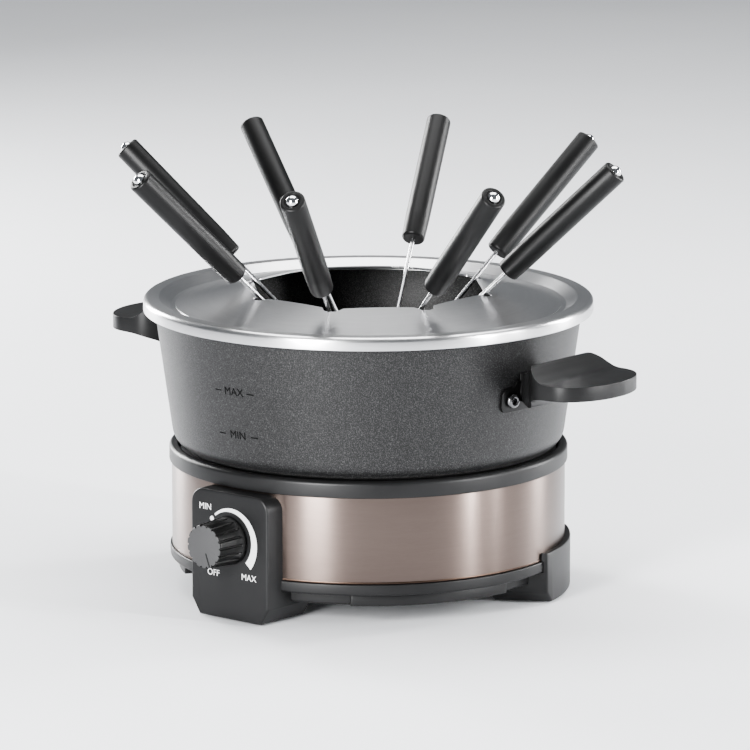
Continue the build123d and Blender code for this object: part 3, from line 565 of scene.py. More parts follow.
def lettering(text: str, height: float, thickness: float) -> bpy.types.Mesh:
    """Plain capital letters as a solid mesh, centred on the origin in the XY plane.

    Args:
        text: the letters.
        height: their height.
        thickness: their thickness, from Z of 0 up.

    Returns:
        A mesh.
    """
    curve = bpy.data.curves.new("letters", "FONT")
    curve.body = text
    curve.align_x = "CENTER"
    curve.align_y = "CENTER"
    curve.size = height / 0.72
    curve.extrude = thickness / 2
    curve.resolution_u = 4
    holder = bpy.data.objects.new("letters", curve)
    mesh = bpy.data.meshes.new_from_object(holder)
    bpy.data.objects.remove(holder)
    bpy.data.curves.remove(curve)
    mesh.transform(Matrix.Translation((0, 0, thickness / 2)))
    return mesh


def deliver(
    bm: bmesh.types.BMesh,
    name: str,
    body: str,
    finishes: list[Finish],
    stands_for: tuple[str, ...] = (),
    sharp: float = 38.0,
) -> bpy.types.Object:
    """Turn a finished bmesh into a piece that rides on a CAD body.

    Args:
        bm: the mesh, in place; it is freed.
        name: the piece's name.
        body: the CAD body that carries it.
        finishes: its materials, in the order of its faces' material numbers.
        stands_for: the CAD nodes that it replaces.
        sharp: edges that turn by more degrees than this stay sharp.

    Returns:
        The piece.
    """
    mesh = bpy.data.meshes.new(name)
    bm.to_mesh(mesh)
    bm.free()
    mesh.shade_smooth()
    mesh.set_sharp_from_angle(angle=math.radians(sharp))
    for finish in finishes:
        mesh.materials.append(finish.material())
    piece = bpy.data.objects.new(name, mesh)
    bpy.context.scene.collection.objects.link(piece)
    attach(piece, body)
    if stands_for:
        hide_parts(*stands_for)
    log.info("%s: %d faces on %s", name, len(mesh.polygons), body)
    return piece


def merged(parts: list[bmesh.types.BMesh]) -> bmesh.types.BMesh:
    """One bmesh holding several, which are freed."""
    whole = bmesh.new()
    for part in parts:
        mesh = bpy.data.meshes.new("part")
        part.to_mesh(mesh)
        part.free()
        whole.from_mesh(mesh)
        bpy.data.meshes.remove(mesh)
    return whole


def place(bm: bmesh.types.BMesh, matrix: Matrix) -> bmesh.types.BMesh:
    """The same bmesh, moved by a matrix."""
    bmesh.ops.transform(bm, matrix=matrix, verts=bm.verts)
    return bm


TO_FRONT = Matrix.Rotation(math.radians(90), 4, "X")


# --- base ---------------------------------------------------------------------------------


@dataclass
class Base:
    """Heated base: pan, band, bezel, hot plate, legs and cord inlet."""

    band_r: float = 0.1035
    band_low: float = 0.0236
    band_top: float = 0.0692
    band_wall: float = 0.0008
    bezel_r: float = 0.1048
    bezel_low: float = 0.0688
    bezel_top: float = 0.0775
    bezel_bore: float = 0.0998
    ring_r: float = 0.1045
    ring_low: float = 0.0176
    pan_r: float = 0.097
    pan_low: float = 0.0112
    skirt_r: float = 0.100
    skirt_half: float = 25.6
    leg_r: float = 0.1066
    leg_half: float = 0.0352
    leg_top: float = 0.028
    sole: float = 0.001
    skin: float = 0.0001
    seat: float = 0.0715
    recess_r: float = 0.0925
    recess_floor: float = 0.060
    pan_hole: float = 0.058
    pan_bore: float = 0.094
    pan_floor: float = 0.0142
    ring_floor: float = 0.0205
    spigot_top: float = 0.030
    leg_inner: float = 0.078
    plate_r: float = 0.0988
    gland_z: float = 0.047
    leg_angles: dict[str, float] = field(default_factory=lambda: {"leg_right": 30.0, "leg_left": 150.0})
    skirt_angles: tuple[float, ...] = (-30.0, 90.0, 210.0)

    def make(self) -> None:
        """Build and dress the whole base."""
        self.make_band()
        self.make_bezel()
        self.make_pan()
        self.make_plate()
        for name, angle in self.leg_angles.items():
            self.make_leg(name, angle)
        self.make_gland()
        self.dress()

    def make_band(self) -> None:
        """Brushed band with a thin folded bronze edge at its foot."""
        inner = self.band_r - self.band_wall
        outline = [
            (inner, self.band_low),
            (self.band_r, self.band_low),
            (self.band_r, self.band_low + 0.0009),
            (self.band_r - 0.0001, self.band_low + 0.0011),
            (self.band_r, self.band_low + 0.0013),
            (self.band_r, self.band_top),
            (inner, self.band_top),
        ]
        bm = turned(rounded(outline, {1: 0.0003}, 3), 256)
        for face in bm.faces:
            low = face.calc_center_median().z < self.band_low + 0.0011
            face.material_index = 1 if low else 0
        deliver(bm, "band_skin", "base", [BAND, BAND_EDGE], ("metal_band",))

    def make_bezel(self) -> None:
        """Plastic ring round the pot's recess."""
        groove = self.band_r - self.band_wall - self.skin
        outline = [
            (self.bezel_r, self.bezel_low),
            (self.bezel_r, self.bezel_top),
            (self.bezel_bore, self.bezel_top),
            (self.bezel_bore, self.seat),
            (self.recess_r, self.seat),
            (self.recess_r, self.seat - 0.0025),
            (self.bezel_bore, self.seat - 0.0025),
            (self.bezel_bore, self.recess_floor),
            (groove, self.recess_floor),
            (groove, self.band_top + self.skin),
            (self.band_r + self.skin, self.band_top + self.skin),
            (self.band_r + self.skin, self.bezel_low),
        ]
        profile = rounded(outline, {0: 0.0005, 1: 0.0022, 2: 0.0012, 3: 0.0003}, 7)
        deliver(turned(profile, 256), "bezel", "base", [PLASTIC], ("bezel_ring",))

    def make_pan(self) -> None:
        """Bottom pan with its ring, and the three raised arcs between the legs."""
        spigot = self.band_r - self.band_wall - self.skin
        outline = [
            (self.pan_hole, self.pan_low),
            (self.pan_r, self.pan_low),
            (self.pan_r, self.ring_low),
            (self.ring_r, self.ring_low),
            (self.ring_r, self.band_low - self.skin),
            (spigot, self.band_low - self.skin),
            (spigot, self.spigot_top),
            (self.bezel_bore, self.spigot_top),
            (self.bezel_bore, self.ring_floor),
            (self.pan_bore, self.ring_floor),
            (self.pan_bore, self.pan_floor),
            (self.pan_hole, self.pan_floor),
        ]
        parts = [turned(rounded(outline, {1: 0.0012, 3: 0.0012, 4: 0.0005}, 5), 256)]
        for middle in self.skirt_angles:
            arc = [
                (self.pan_r - 0.0005, self.pan_low),
                (self.skirt_r, self.pan_low),
                (self.skirt_r, self.ring_low - 0.0003),
                (self.pan_r - 0.0005, self.ring_low - 0.0003),
            ]
            skirt = turned(arc, 60, True, 2 * self.skirt_half, middle - self.skirt_half)
            outside = self.skirt_r - 0.0001
            soften(skirt, 0.0007, 3, 50.0, lambda e: max(v.co.xy.length for v in e.verts) > outside)
            parts.append(skirt)
        deliver(merged(parts), "pan", "base", [PLASTIC], ("lower_housing",))

    def make_plate(self) -> None:
        """Cast hot plate with machined rings on its face."""
        low, high = 0.066, 0.075
        step = 0.088
        outline = [(0.0, low), (step, low), (step, self.seat), (self.plate_r, self.seat), (self.plate_r, high)]
        for ring in range(9, 0, -1):
            radius = ring * 0.0098
            outline += [(radius + 0.0008, high), (radius + 0.0004, high - 0.0003)]
            outline += [(radius - 0.0004, high - 0.0003), (radius - 0.0008, high)]
        outline.append((0.0, high))
        bm = turned(rounded(outline, {4: 0.0008}, 4, False), 192, False)
        deliver(bm, "hot_plate_face", "base", [ALUMINIUM], ("hot_plate",))

    def make_leg(self, name: str, angle: float) -> None:
        """One plain leg: a curved shoe that wraps the pan's edge.

        Args:
            name: the CAD node that it replaces.
            angle: polar angle of its middle, in degrees.
        """
        shoe = [
            (self.leg_inner, self.sole),
            (self.leg_r, self.sole),
            (self.leg_r, self.leg_top),
            (self.band_r + self.skin, self.leg_top),
            (self.band_r + self.skin, self.band_low - self.skin),
            (self.ring_r + self.skin, self.band_low - self.skin),
            (self.ring_r + self.skin, self.ring_low - self.skin),
            (self.pan_r + self.skin, self.ring_low - self.skin),
            (self.pan_r + self.skin, self.pan_low - self.skin),
            (self.leg_inner, self.pan_low - self.skin),
        ]
        bm = turned(shoe, 56, True, 58.0, -29.0)
        for side in (-1, 1):
            slice_off(bm, (0, side * self.leg_half, 0), (0, side, 0))
            slice_off(bm, (0, side * self.leg_half, 0.007), (0, side * 0.006, -0.0055))
        soften(bm, 0.0009, 3, 35.0, lambda e: min(v.co.xy.length for v in e.verts) > self.band_r + 0.0012)
        place(bm, Matrix.Rotation(math.radians(angle), 4, "Z"))
        deliver(bm, name + "_shoe", "base", [PLASTIC], (name,))

    def make_gland(self) -> None:
        """Round cord inlet at the back, with a flared mouth."""
        outline = [
            (0.0036, 0.0975),
            (0.0085, 0.0975),
            (0.0085, 0.1004),
            (0.006, 0.1004),
            (0.006, 0.105),
            (0.0085, 0.105),
            (0.008, 0.1076),
            (0.0064, 0.109),
            (0.0036, 0.109),
        ]
        bm = turned(rounded(outline, {5: 0.0006, 6: 0.0008, 7: 0.0006, 8: 0.0008}, 4), 48)
        turn = Matrix.Translation((0, 0, self.gland_z)) @ Matrix.Rotation(math.radians(-90), 4, "X")
        deliver(place(bm, turn), "cord_inlet", "base", [PLASTIC], ("cord_gland",))

    def dress(self) -> None:
        """Give the CAD nodes that stay their finishes."""
        kept = {
            "foot_pads": RUBBER,
            "bottom_cover": PLASTIC,
            "heating_element": SHEATH,
            "heat_shield": SHEET,
            "element_clamps": ZINC,
            "shield_screws": ZINC,
            "cover_screws": ZINC,
            "leg_screws": ZINC,
            "thermostat_body": CERAMIC,
            "thermostat_bracket": ZINC,
            "thermal_fuse": CERAMIC,
            "terminal_block": CERAMIC,
            "knob_shaft": ZINC,
        }
        for node, finish in kept.items():
            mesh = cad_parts[node].data
            mesh.materials.clear()
            mesh.materials.append(finish.material())
            log.info("%s: dressed in %s", node, finish.name)


# --- control panel ------------------------------------------------------------------------


@dataclass
class Controls:
    """Front block that is also the third leg, its dial print and its knob."""

    base: Base
    face: float = 0.112
    half: float = 0.026
    top: float = 0.068
    inner: float = 0.078
    back: float = 0.0995
    corner: float = 0.008
    knob_z: float = 0.043
    knob_len: float = 0.0195
    knob_gap: float = 0.0003
    knob_base_r: float = 0.0128
    knob_face_r: float = 0.0114
    grooves: int = 18
    ink: float = 0.00012

    def make(self) -> None:
        """Build and dress the panel, its marks and the knob."""
        self.make_block()
        self.make_marks()
        self.make_knob()

    def make_block(self) -> None:
        """Housing with rounded shoulders and cut-off bottom corners, and the foot under the pan."""
        low = self.base.sole
        outline = [
            (-self.half, 0.0095),
            (-self.half + 0.0053, low),
            (self.half - 0.0053, low),
            (self.half, 0.0095),
            (self.half, self.top),
            (-self.half, self.top),
        ]
        radii = dict.fromkeys(range(4), 0.0012) | dict.fromkeys((4, 5), self.corner)
        shaped = rounded(outline, radii, 8)
        block = place(prism(shaped, self.back, self.face), TO_FRONT)
        front = -self.face + 1e-5
        soften(block, 0.0012, 4, 40.0, lambda e: all(v.co.y < front for v in e.verts))
        under = self.base.pan_low - self.base.skin
        beside = self.base.band_low - self.base.skin
        foot = shaped[:-2 * 9] + [(self.half, under), (-self.half, under)]
        heel = [(-self.half, under), (self.half, under), (self.half, beside), (-self.half, beside)]
        parts = [
            block,
            place(prism(foot, self.inner, self.back), TO_FRONT),
            place(prism(heel, self.base.pan_r - 0.004, self.back), TO_FRONT),
        ]
        deliver(merged(parts), "control_block", "base", [PANEL], ("control_housing",))

    def on_panel(self, across: float, up: float) -> Matrix:
        """Matrix that stands a flat mark on the panel, at a place measured from the knob's centre."""
        return Matrix.Translation((across, -self.face, self.knob_z + up)) @ TO_FRONT

    def make_marks(self) -> None:
        """White dial print: a growing arc, a dot and three words."""
        bm = bmesh.new()
        for text, across, up in (("MIN", -0.0161, 0.0156), ("MAX", 0.0133, -0.0182), ("OFF", -0.0107, -0.0186)):
            mesh = lettering(text, 0.0034, self.ink)
            mesh.transform(self.on_panel(across, up))
            bm.from_mesh(mesh)
            bpy.data.meshes.remove(mesh)
        deliver(bm, "dial_words", "base", [INK])
        self.make_arc()

    def make_arc(self) -> None:
        """Arc that widens clockwise from the low setting to the high one, with a dot at its start."""
        start, end, segments = 128.0, -43.0, 64
        inner_edge, outer_edge = [], []
        for step in range(segments + 1):
            share = step / segments
            angle = math.radians(start + (end - start) * share)
            width = 0.0011 + 0.0036 * share
            inner = 0.0148 + 0.0004 * share
            inner_edge.append((inner * math.cos(angle), inner * math.sin(angle)))
            outer_edge.append(((inner + width) * math.cos(angle), (inner + width) * math.sin(angle)))
        bm = bmesh.new()
        low = [bm.verts.new((x, y, 0)) for x, y in inner_edge]
        high = [bm.verts.new((x, y, 0)) for x, y in outer_edge]
        rows = [[bm.edges.new(pair) for pair in zip(row, row[1:])] for row in (low, high)]
        bmesh.ops.bridge_loops(bm, edges=rows[0] + rows[1])
        grown = bmesh.ops.extrude_face_region(bm, geom=list(bm.faces))["geom"]
        raised = [g for g in grown if isinstance(g, bmesh.types.BMVert)]
        bmesh.ops.translate(bm, verts=raised, vec=(0, 0, self.ink))
        bmesh.ops.recalc_face_normals(bm, faces=bm.faces)
        place(bm, self.on_panel(0, 0))
        dot = bmesh.new()
        bmesh.ops.create_cone(dot, segments=24, radius1=0.0013, radius2=0.0013, depth=self.ink, cap_ends=True)
        place(dot, self.on_panel(-0.0116, 0.0099) @ Matrix.Translation((0, 0, self.ink / 2)))
        deliver(merged([bm, dot]), "dial_arc", "base", [INK])

    def make_knob(self) -> None:
        """Tapered knob with narrow grooves that stop short of its skirt, a paler face and a pointer."""
        length = self.knob_len
        outline = [
            (0.0, length),
            (self.knob_face_r, length),
            (self.knob_base_r - 0.0003, 0.003),
            (self.knob_base_r, 0.0),
            (self.knob_base_r - 0.0025, 0.0),
            (self.knob_face_r - 0.0025, length - 0.004),
            (0.0, length - 0.004),
        ]
        profile = rounded(outline, {1: 0.0007, 3: 0.0009}, 4, False)
        dense: list[Point2] = []
        for first, second in zip(profile, profile[1:]):
            on_wall = min(first[0], second[0]) > 0.011
            parts = max(1, round(math.dist(first, second) / 0.0009)) if on_wall else 1
            for part in range(parts):
                share = part / parts
                spot = Vector(first).lerp(Vector(second), share)
                dense.append((spot.x, spot.y))
        dense.append(profile[-1])
        bm = turned(dense, self.grooves * 16, False)
        pitch = math.tau / self.grooves
        for vert in bm.verts:
            radius = vert.co.xy.length
            wall = self.knob_base_r + (self.knob_face_r - self.knob_base_r) * vert.co.z / length
            if radius < wall - 0.0011:
                continue
            turn = math.atan2(vert.co.y, vert.co.x) / pitch
            off = abs(turn - round(turn)) * pitch * radius
            depth = 0.0008 * (1 - smooth(off, 0.00015, 0.00075)) * smooth(vert.co.z, 0.0030, 0.0042)
            vert.co.xy *= (radius - depth) / radius
        for face in bm.faces:
            centre = face.calc_center_median()
            face.material_index = 1 if centre.z > length - 0.00005 else 0
        turn = Matrix.Translation((0, -self.face - self.knob_gap, self.knob_z)) @ TO_FRONT
        deliver(place(bm, turn), "knob_cap", "knob", [KNOB, KNOB_FACE], ("knob",), 30.0)
        line = prism([(0.0035, -0.00035), (0.0108, -0.00035), (0.0108, 0.00035), (0.0035, 0.00035)], 0, 0.0001)
        aim = turn @ Matrix.Translation((0, 0, length)) @ Matrix.Rotation(math.radians(-69), 4, "Z")
        deliver(place(line, aim), "knob_pointer", "knob", [POINTER])


# --- pot ----------------------------------------------------------------------------------


@dataclass
class Pot:
    """Lift-off pot with level marks, riveted straps and two handles."""

    low: float = 0.0753
    rim: float = 0.1539
    wall: float = 0.003
    ref_r: float = 0.1095
    ref_z: float = 0.1309
    slope: float = 0.141
    foot_round: float = 0.012
    lip_r: float = 0.1154
    strap_low: float = 0.1087
    strap_high: float = 0.1217
    tab_high: float = 0.1250
    strap_half: float = 0.021
    strap_thick: float = 0.0014
    rivet_z: float = 0.115
    rivet_angle: float = 7.6
    start: float = 0.1088
    tip: float = 0.166
    widest: float = 0.146
    handle_half: float = 0.0311
    half_line: tuple[Point2, ...] = (
        (0.1088, 0.0090), (0.1100, 0.0090), (0.1126, 0.0106), (0.117, 0.0120), (0.121, 0.0155), (0.125, 0.0205),
        (0.128, 0.0245), (0.1314, 0.0282), (0.135, 0.0303), (0.140, 0.0311), (0.146, 0.0311),
    )
    top_line: tuple[Point2, ...] = (
        (0.1088, 0.1285), (0.1136, 0.1292), (0.118, 0.1318), (0.123, 0.1352), (0.1275, 0.1370),
        (0.1314, 0.1349), (0.1348, 0.1324), (0.1395, 0.1302), (0.146, 0.1298), (0.156, 0.1298),
        (0.166, 0.1300),
    )
    under_line: tuple[Point2, ...] = (
        (0.1088, 0.1140), (0.1125, 0.1135), (0.1165, 0.1118), (0.121, 0.1135), (0.128, 0.1185), (0.136, 0.1215),
        (0.146, 0.1222), (0.156, 0.1223), (0.166, 0.1224),
    )
    pocket: tuple[float, float] = (0.116, 0.129)
    pocket_half: float = 0.0045
    pocket_top: float = 0.1235
    screw_z: float = 0.119

    def radius(self, z: float) -> float:
        """Outer radius of the wall at a height."""
        return self.ref_r + self.slope * (z - self.ref_z)

    def make(self) -> None:
        """Build and dress the pot and everything riveted to it."""
        self.make_shell()
        self.make_marks()
        for side, angle in (("right", 0.0), ("left", 180.0)):
            self.make_handle(side, angle)
            self.make_strap(side, angle)
        self.make_rivets()
        self.make_screws()

    def make_shell(self) -> None:
        """Cast shell, coated grey outside and black inside."""
        floor = self.low + self.wall
        outline = [
            (0.0, self.low),
            (0.078, self.low),
            (self.radius(self.low), self.low),
            (self.radius(self.rim - 0.0026), self.rim - 0.0026),
            (self.lip_r, self.rim - 0.0026),
            (self.lip_r, self.rim),
            (self.radius(self.rim) - self.wall, self.rim),
            (self.radius(floor) - self.wall, floor),
            (0.0, floor),
        ]
        radii = {2: self.foot_round, 3: 0.0006, 4: 0.0008, 5: 0.0008, 6: 0.0010, 7: self.foot_round - self.wall}
        bm = turned(rounded(outline, radii, 10, False), 288, False)
        for face in bm.faces:
            centre = face.calc_center_median()
            reach = centre.xy.length
            inside = centre.z > floor - 0.0002 and reach < self.radius(centre.z) - self.wall * 0.6
            face.material_index = 1 if inside else 0
        deliver(bm, "pot_shell", "pot", [COAT_OUT, COAT_IN], ("pot_body",))

    def on_wall(self, across: float, z: float, proud: float) -> Vector:
        """Point on the wall in front, across it by an arc length, standing proud of it."""
        radius = self.radius(z) + proud
        angle = across / self.radius(z)
        return Vector((radius * math.sin(angle), -radius * math.cos(angle), z))

    def make_marks(self) -> None:
        """Level marks on the wall's front: a word between two short dashes, raised a little and coloured
        near-black as painted shade of an engraving.
        """
        bm = bmesh.new()
        for text, z in (("MAX", 0.1200), ("MIN", 0.0968)):
            mesh = lettering(text, 0.0043, 0.00012)
            bm.from_mesh(mesh)
            bpy.data.meshes.remove(mesh)
            fresh = [v for v in bm.verts if v.co.z < 0.001]
            for vert in fresh:
                vert.co = self.on_wall(vert.co.x, z + vert.co.y, vert.co.z + 0.00002)
            for side in (-1, 1):
                ends = sorted((side * 0.0085, side * 0.0130))
                dash = bmesh.ops.create_grid(bm, x_segments=6, y_segments=1, size=0.5)["verts"]
                for vert in dash:
                    across = ends[0] + (ends[1] - ends[0]) * (vert.co.x + 0.5)
                    vert.co = self.on_wall(across, z + vert.co.y * 0.0006, 0.00013)
        bmesh.ops.recalc_face_normals(bm, faces=bm.faces)
        deliver(bm, "level_marks", "pot", [LEVEL_MARK_SHADE])

    def handle_half_width(self, reach: float) -> float:
        """Half the handle's width at a distance from the axis."""
        if reach > self.widest:
            share = (reach - self.widest) / (self.tip - self.widest)
            return self.handle_half * math.sqrt(max(0.0, 1 - share * share))
        return through(list(self.half_line), reach)

    def make_handle(self, side: str, angle: float) -> None:
        """Handle: a narrow neck that climbs to a crest, then a wide tab, with a pocket underneath.

        Args:
            side: which handle, as in its CAD node's name.
            angle: its polar angle in degrees.
        """
        neck = [self.start + (self.widest - self.start) * n / 44 for n in range(45)]
        tab = [self.widest + (self.tip - self.widest) * math.sin(math.radians(a)) for a in range(4, 85, 4)]
        loops = []
        for reach in neck + tab:
            half = self.handle_half_width(reach)
            inner = min(self.pocket_half, 0.45 * half)
            across = (-half, -inner, 0.0, inner, half)
            top = through(list(self.top_line), reach)
            under = through(list(self.under_line), reach)
            loop = [Vector((reach, y, under)) for y in across]
            loops.append(loop + [Vector((reach, y, top)) for y in reversed(across)])
        bm = lofted(loops)
        soften(bm, 0.0011, 4, 50.0, lambda e: min(v.co.x for v in e.verts) > self.start + 1e-5)
        self.sink_pocket(bm)
        place(bm, Matrix.Rotation(math.radians(angle), 4, "Z"))
        deliver(bm, f"handle_grip_{side}", "pot", [GRIP], (f"handle_{side}",), 42.0)

    def sink_pocket(self, bm: bmesh.types.BMesh) -> None:
        """Raise the faces under the neck into a pocket that hides the screw."""
        near, far = self.pocket
        faces = []
        for face in bm.faces:
            spot = face.calc_center_median()
            if face.normal.z < -0.6 and near < spot.x < far and abs(spot.y) < self.pocket_half - 0.0002:
                faces.append(face)
        grown = bmesh.ops.extrude_face_region(bm, geom=faces)["geom"]
        for vert in (g for g in grown if isinstance(g, bmesh.types.BMVert)):
            vert.co.z = self.pocket_top
        bmesh.ops.recalc_face_normals(bm, faces=bm.faces)

    def make_strap(self, side: str, angle: float) -> None:
        """Enamelled strap that follows the wall, with a raised tab in its middle.

        Args:
            side: which handle, as in its CAD node's name.
            angle: its polar angle in degrees.
        """
        bm = bmesh.new()
        bmesh.ops.create_grid(bm, x_segments=40, y_segments=16, size=0.5)
        middle = (self.strap_low + self.strap_high) / 2
        half_high = (self.strap_high - self.strap_low) / 2
        corner = 0.0035
        for vert in bm.verts:
            across = vert.co.x * 2 * self.strap_half
            edge = max(0.0, abs(across) - (self.strap_half - corner))
            shrink = corner - math.sqrt(max(0.0, corner * corner - edge * edge))
            low = middle - half_high + shrink
            rise = (self.tab_high - self.strap_high) * (1 - smooth(abs(across), 0.0115, 0.0135))
            high = middle + half_high - shrink + rise
            z = low + (high - low) * (vert.co.y + 0.5)
            radius = self.radius(z) + 0.00005
            turn = math.radians(angle) + across / self.radius(middle)
            vert.co = (radius * math.cos(turn), radius * math.sin(turn), z)
        bmesh.ops.recalc_face_normals(bm, faces=bm.faces)
        outward = Vector((math.cos(math.radians(angle)), math.sin(math.radians(angle)), 0))
        if sum(f.normal.dot(outward) for f in bm.faces) < 0:
            bmesh.ops.reverse_faces(bm, faces=bm.faces)
        grown = bmesh.ops.extrude_face_region(bm, geom=list(bm.faces))["geom"]
        for vert in (g for g in grown if isinstance(g, bmesh.types.BMVert)):
            flat = vert.co.xy.normalized() * self.strap_thick
            vert.co += Vector((flat.x, flat.y, 0))
        bmesh.ops.recalc_face_normals(bm, faces=bm.faces)
        soften(bm, 0.0003, 2, 50.0)
        deliver(bm, f"strap_{side}", "pot", [ENAMEL], (f"handle_bracket_{side}",), 45.0)

    def make_rivets(self) -> None:
        """Four hollow rivets, each with a domed head outside and a flat one inside."""
        parts = []
        shank = self.radius(self.rivet_z)
        outer = shank + self.strap_thick + 0.0007
        inner = shank - self.wall - 0.0018
        outline = [
            (0.0, inner),
            (0.0043, inner),
            (0.0043, inner + 0.0012),
            (0.0020, inner + 0.0012),
            (0.0020, outer),
            (0.0043, outer),
            (0.0036, outer + 0.0016),
            (0.0024, outer + 0.0021),
            (0.0016, outer + 0.0016),
            (0.0014, outer + 0.0002),
            (0.0, outer + 0.0002),
        ]
        profile = rounded(outline, {1: 0.0003, 5: 0.0004, 6: 0.0012, 7: 0.0006}, 5, False)
        for side in (0.0, 180.0):
            for offset in (-self.rivet_angle, self.rivet_angle):
                aim = (
                    Matrix.Rotation(math.radians(side + offset), 4, "Z")
                    @ Matrix.Translation((0, 0, self.rivet_z))
                    @ Matrix.Rotation(math.radians(90), 4, "Y")
                )
                parts.append(place(turned(profile, 40, False), aim))
        deliver(merged(parts), "rivets", "pot", [RIVET], ("bracket_rivets",))

    def make_screws(self) -> None:
        """Pan-head screws under the handles' necks."""
        parts = []
        for side in (0.0, 180.0):
            outline = [(0.0, 0.0), (0.0034, 0.0), (0.0034, 0.0022), (0.0, 0.0024)]
            bm = turned(rounded(outline, {2: 0.001}, 4, False), 32, False)
            aim = (
                Matrix.Rotation(math.radians(side), 4, "Z")
                @ Matrix.Translation((self.pocket[0] + 0.00005, 0, self.screw_z))
                @ Matrix.Rotation(math.radians(90), 4, "Y")
            )
            parts.append(place(bm, aim))
        deliver(merged(parts), "neck_screws", "pot", [ZINC], ("handle_screws",))


# --- fork guard ---------------------------------------------------------------------------


@dataclass
class Guard:
    """Stainless guard: rolled rim, groove, softly faceted crown and eight fork notches."""

    forks: int = 8
    sheet: float = 0.0008
    rim_r: float = 0.118
    rim_low: float = 0.1482
    rim_top: float = 0.155
    crown_r: float = 0.101
    groove: float = 0.1508
    mouth: float = 0.059
    mouth_z: float = 0.1596
    foot_z: float = 0.1512
    facet_share: float = 0.45
    facet_end: float = 0.1
    notch_depth: float = 0.0034
    notch_flat: float = 0.0030
    notch_end: float = 0.0062
    hem: float = 0.0004
    crowding: float = 1.35
    steps: int = 960
    rows: int = 36

    def make(self) -> None:
        """Build and dress the guard."""
        sheet = self.sheet
        outer = [
            (self.rim_r, self.rim_low),
            (self.rim_r, self.rim_top),
            (0.1096, self.rim_top),
            (0.1038, self.groove),
            (self.crown_r - self.hem, self.groove),
        ]
        inner = [
            (self.crown_r - self.hem, self.groove - sheet),
            (0.1034, self.groove - sheet),
            (0.1092, self.rim_top - sheet),
            (self.rim_r - sheet, self.rim_top - sheet),
            (self.rim_r - sheet, self.rim_low),
        ]
        radii = {0: 0.0003, 1: 0.0026, 2: 0.0016, 3: 0.0010, 6: 0.0018, 7: 0.0008, 8: 0.0018}
        profile = rounded(outer + inner, radii, 8)
        ring = turned(profile, self.steps // 3)
        deliver(merged([ring, self.crown()]), "guard_sheet", "guard", [GUARD], ("fork_guard",), 30.0)

    def mouth_radius(self, angle: float) -> float:
        """Radius of the mouth's edge at a polar angle: an octagon with a bay at each corner."""
        pitch = math.tau / self.forks
        across_facet = math.remainder(angle, pitch)
        straight = self.mouth / math.cos(across_facet)
        from_corner = abs(pitch / 2 - abs(across_facet)) * self.mouth / math.cos(pitch / 2)
        return straight + self.notch_depth * (1 - smooth(from_corner, self.notch_flat, self.notch_end))

    def height(self, x: float, y: float) -> float:
        """Height of the crown's top face: soft facets at the mouth that run out into a plain cone."""
        radius = math.hypot(x, y)
        away = math.remainder(math.atan2(y, x), math.tau / self.forks)
        share = self.facet_share * (1 - smooth(radius, self.mouth, self.facet_end))
        level = radius * (1 - share * (1 - math.cos(away)))
        drop = (self.mouth_z - self.foot_z) / (self.crown_r - self.mouth)
        return self.mouth_z - drop * (level - self.mouth)

    def crown(self) -> bmesh.types.BMesh:
        """The crown's sheet, spun flat and then drawn to its mouth, facets and foot."""
        line = [(self.mouth + (self.crown_r - self.mouth) * n / self.rows, 0.0) for n in range(self.rows + 1)]
        bm = turned(line, self.steps, False)
        span = self.crown_r - self.mouth
        for vert in bm.verts:
            angle = math.atan2(vert.co.y, vert.co.x)
            share = max(0.0, (vert.co.xy.length - self.mouth) / span)
            edge = self.mouth_radius(angle)
            radius = edge + (self.crown_r - edge) * share**self.crowding
            vert.co.x = radius * math.cos(angle)
            vert.co.y = radius * math.sin(angle)
            vert.co.z = self.height(vert.co.x, vert.co.y)
        if sum(f.normal.z for f in bm.faces) < 0:
            bmesh.ops.reverse_faces(bm, faces=bm.faces)
        outside = self.crown_r - 1e-4
        foot = [e for e in bm.edges if e.is_boundary and min(v.co.xy.length for v in e.verts) > outside]
        for step in range(3):
            grown = bmesh.ops.extrude_edge_only(bm, edges=foot)["geom"]
            foot = [g for g in grown if isinstance(g, bmesh.types.BMEdge) and g.is_boundary]
            for vert in {v for e in foot for v in e.verts}:
                left = vert.co.z - (self.groove - self.hem)
                vert.co.z -= left / 2 if step < 2 else left
                vert.co.xy *= 1.0006 if step == 0 else 1.0
        bmesh.ops.recalc_face_normals(bm, faces=bm.faces)
        if sum(f.normal.z for f in bm.faces) < 0:
            bmesh.ops.reverse_faces(bm, faces=bm.faces)
        bmesh.ops.solidify(bm, geom=list(bm.faces), thickness=self.sheet)
        return bm


# --- forks --------------------------------------------------------------------------------


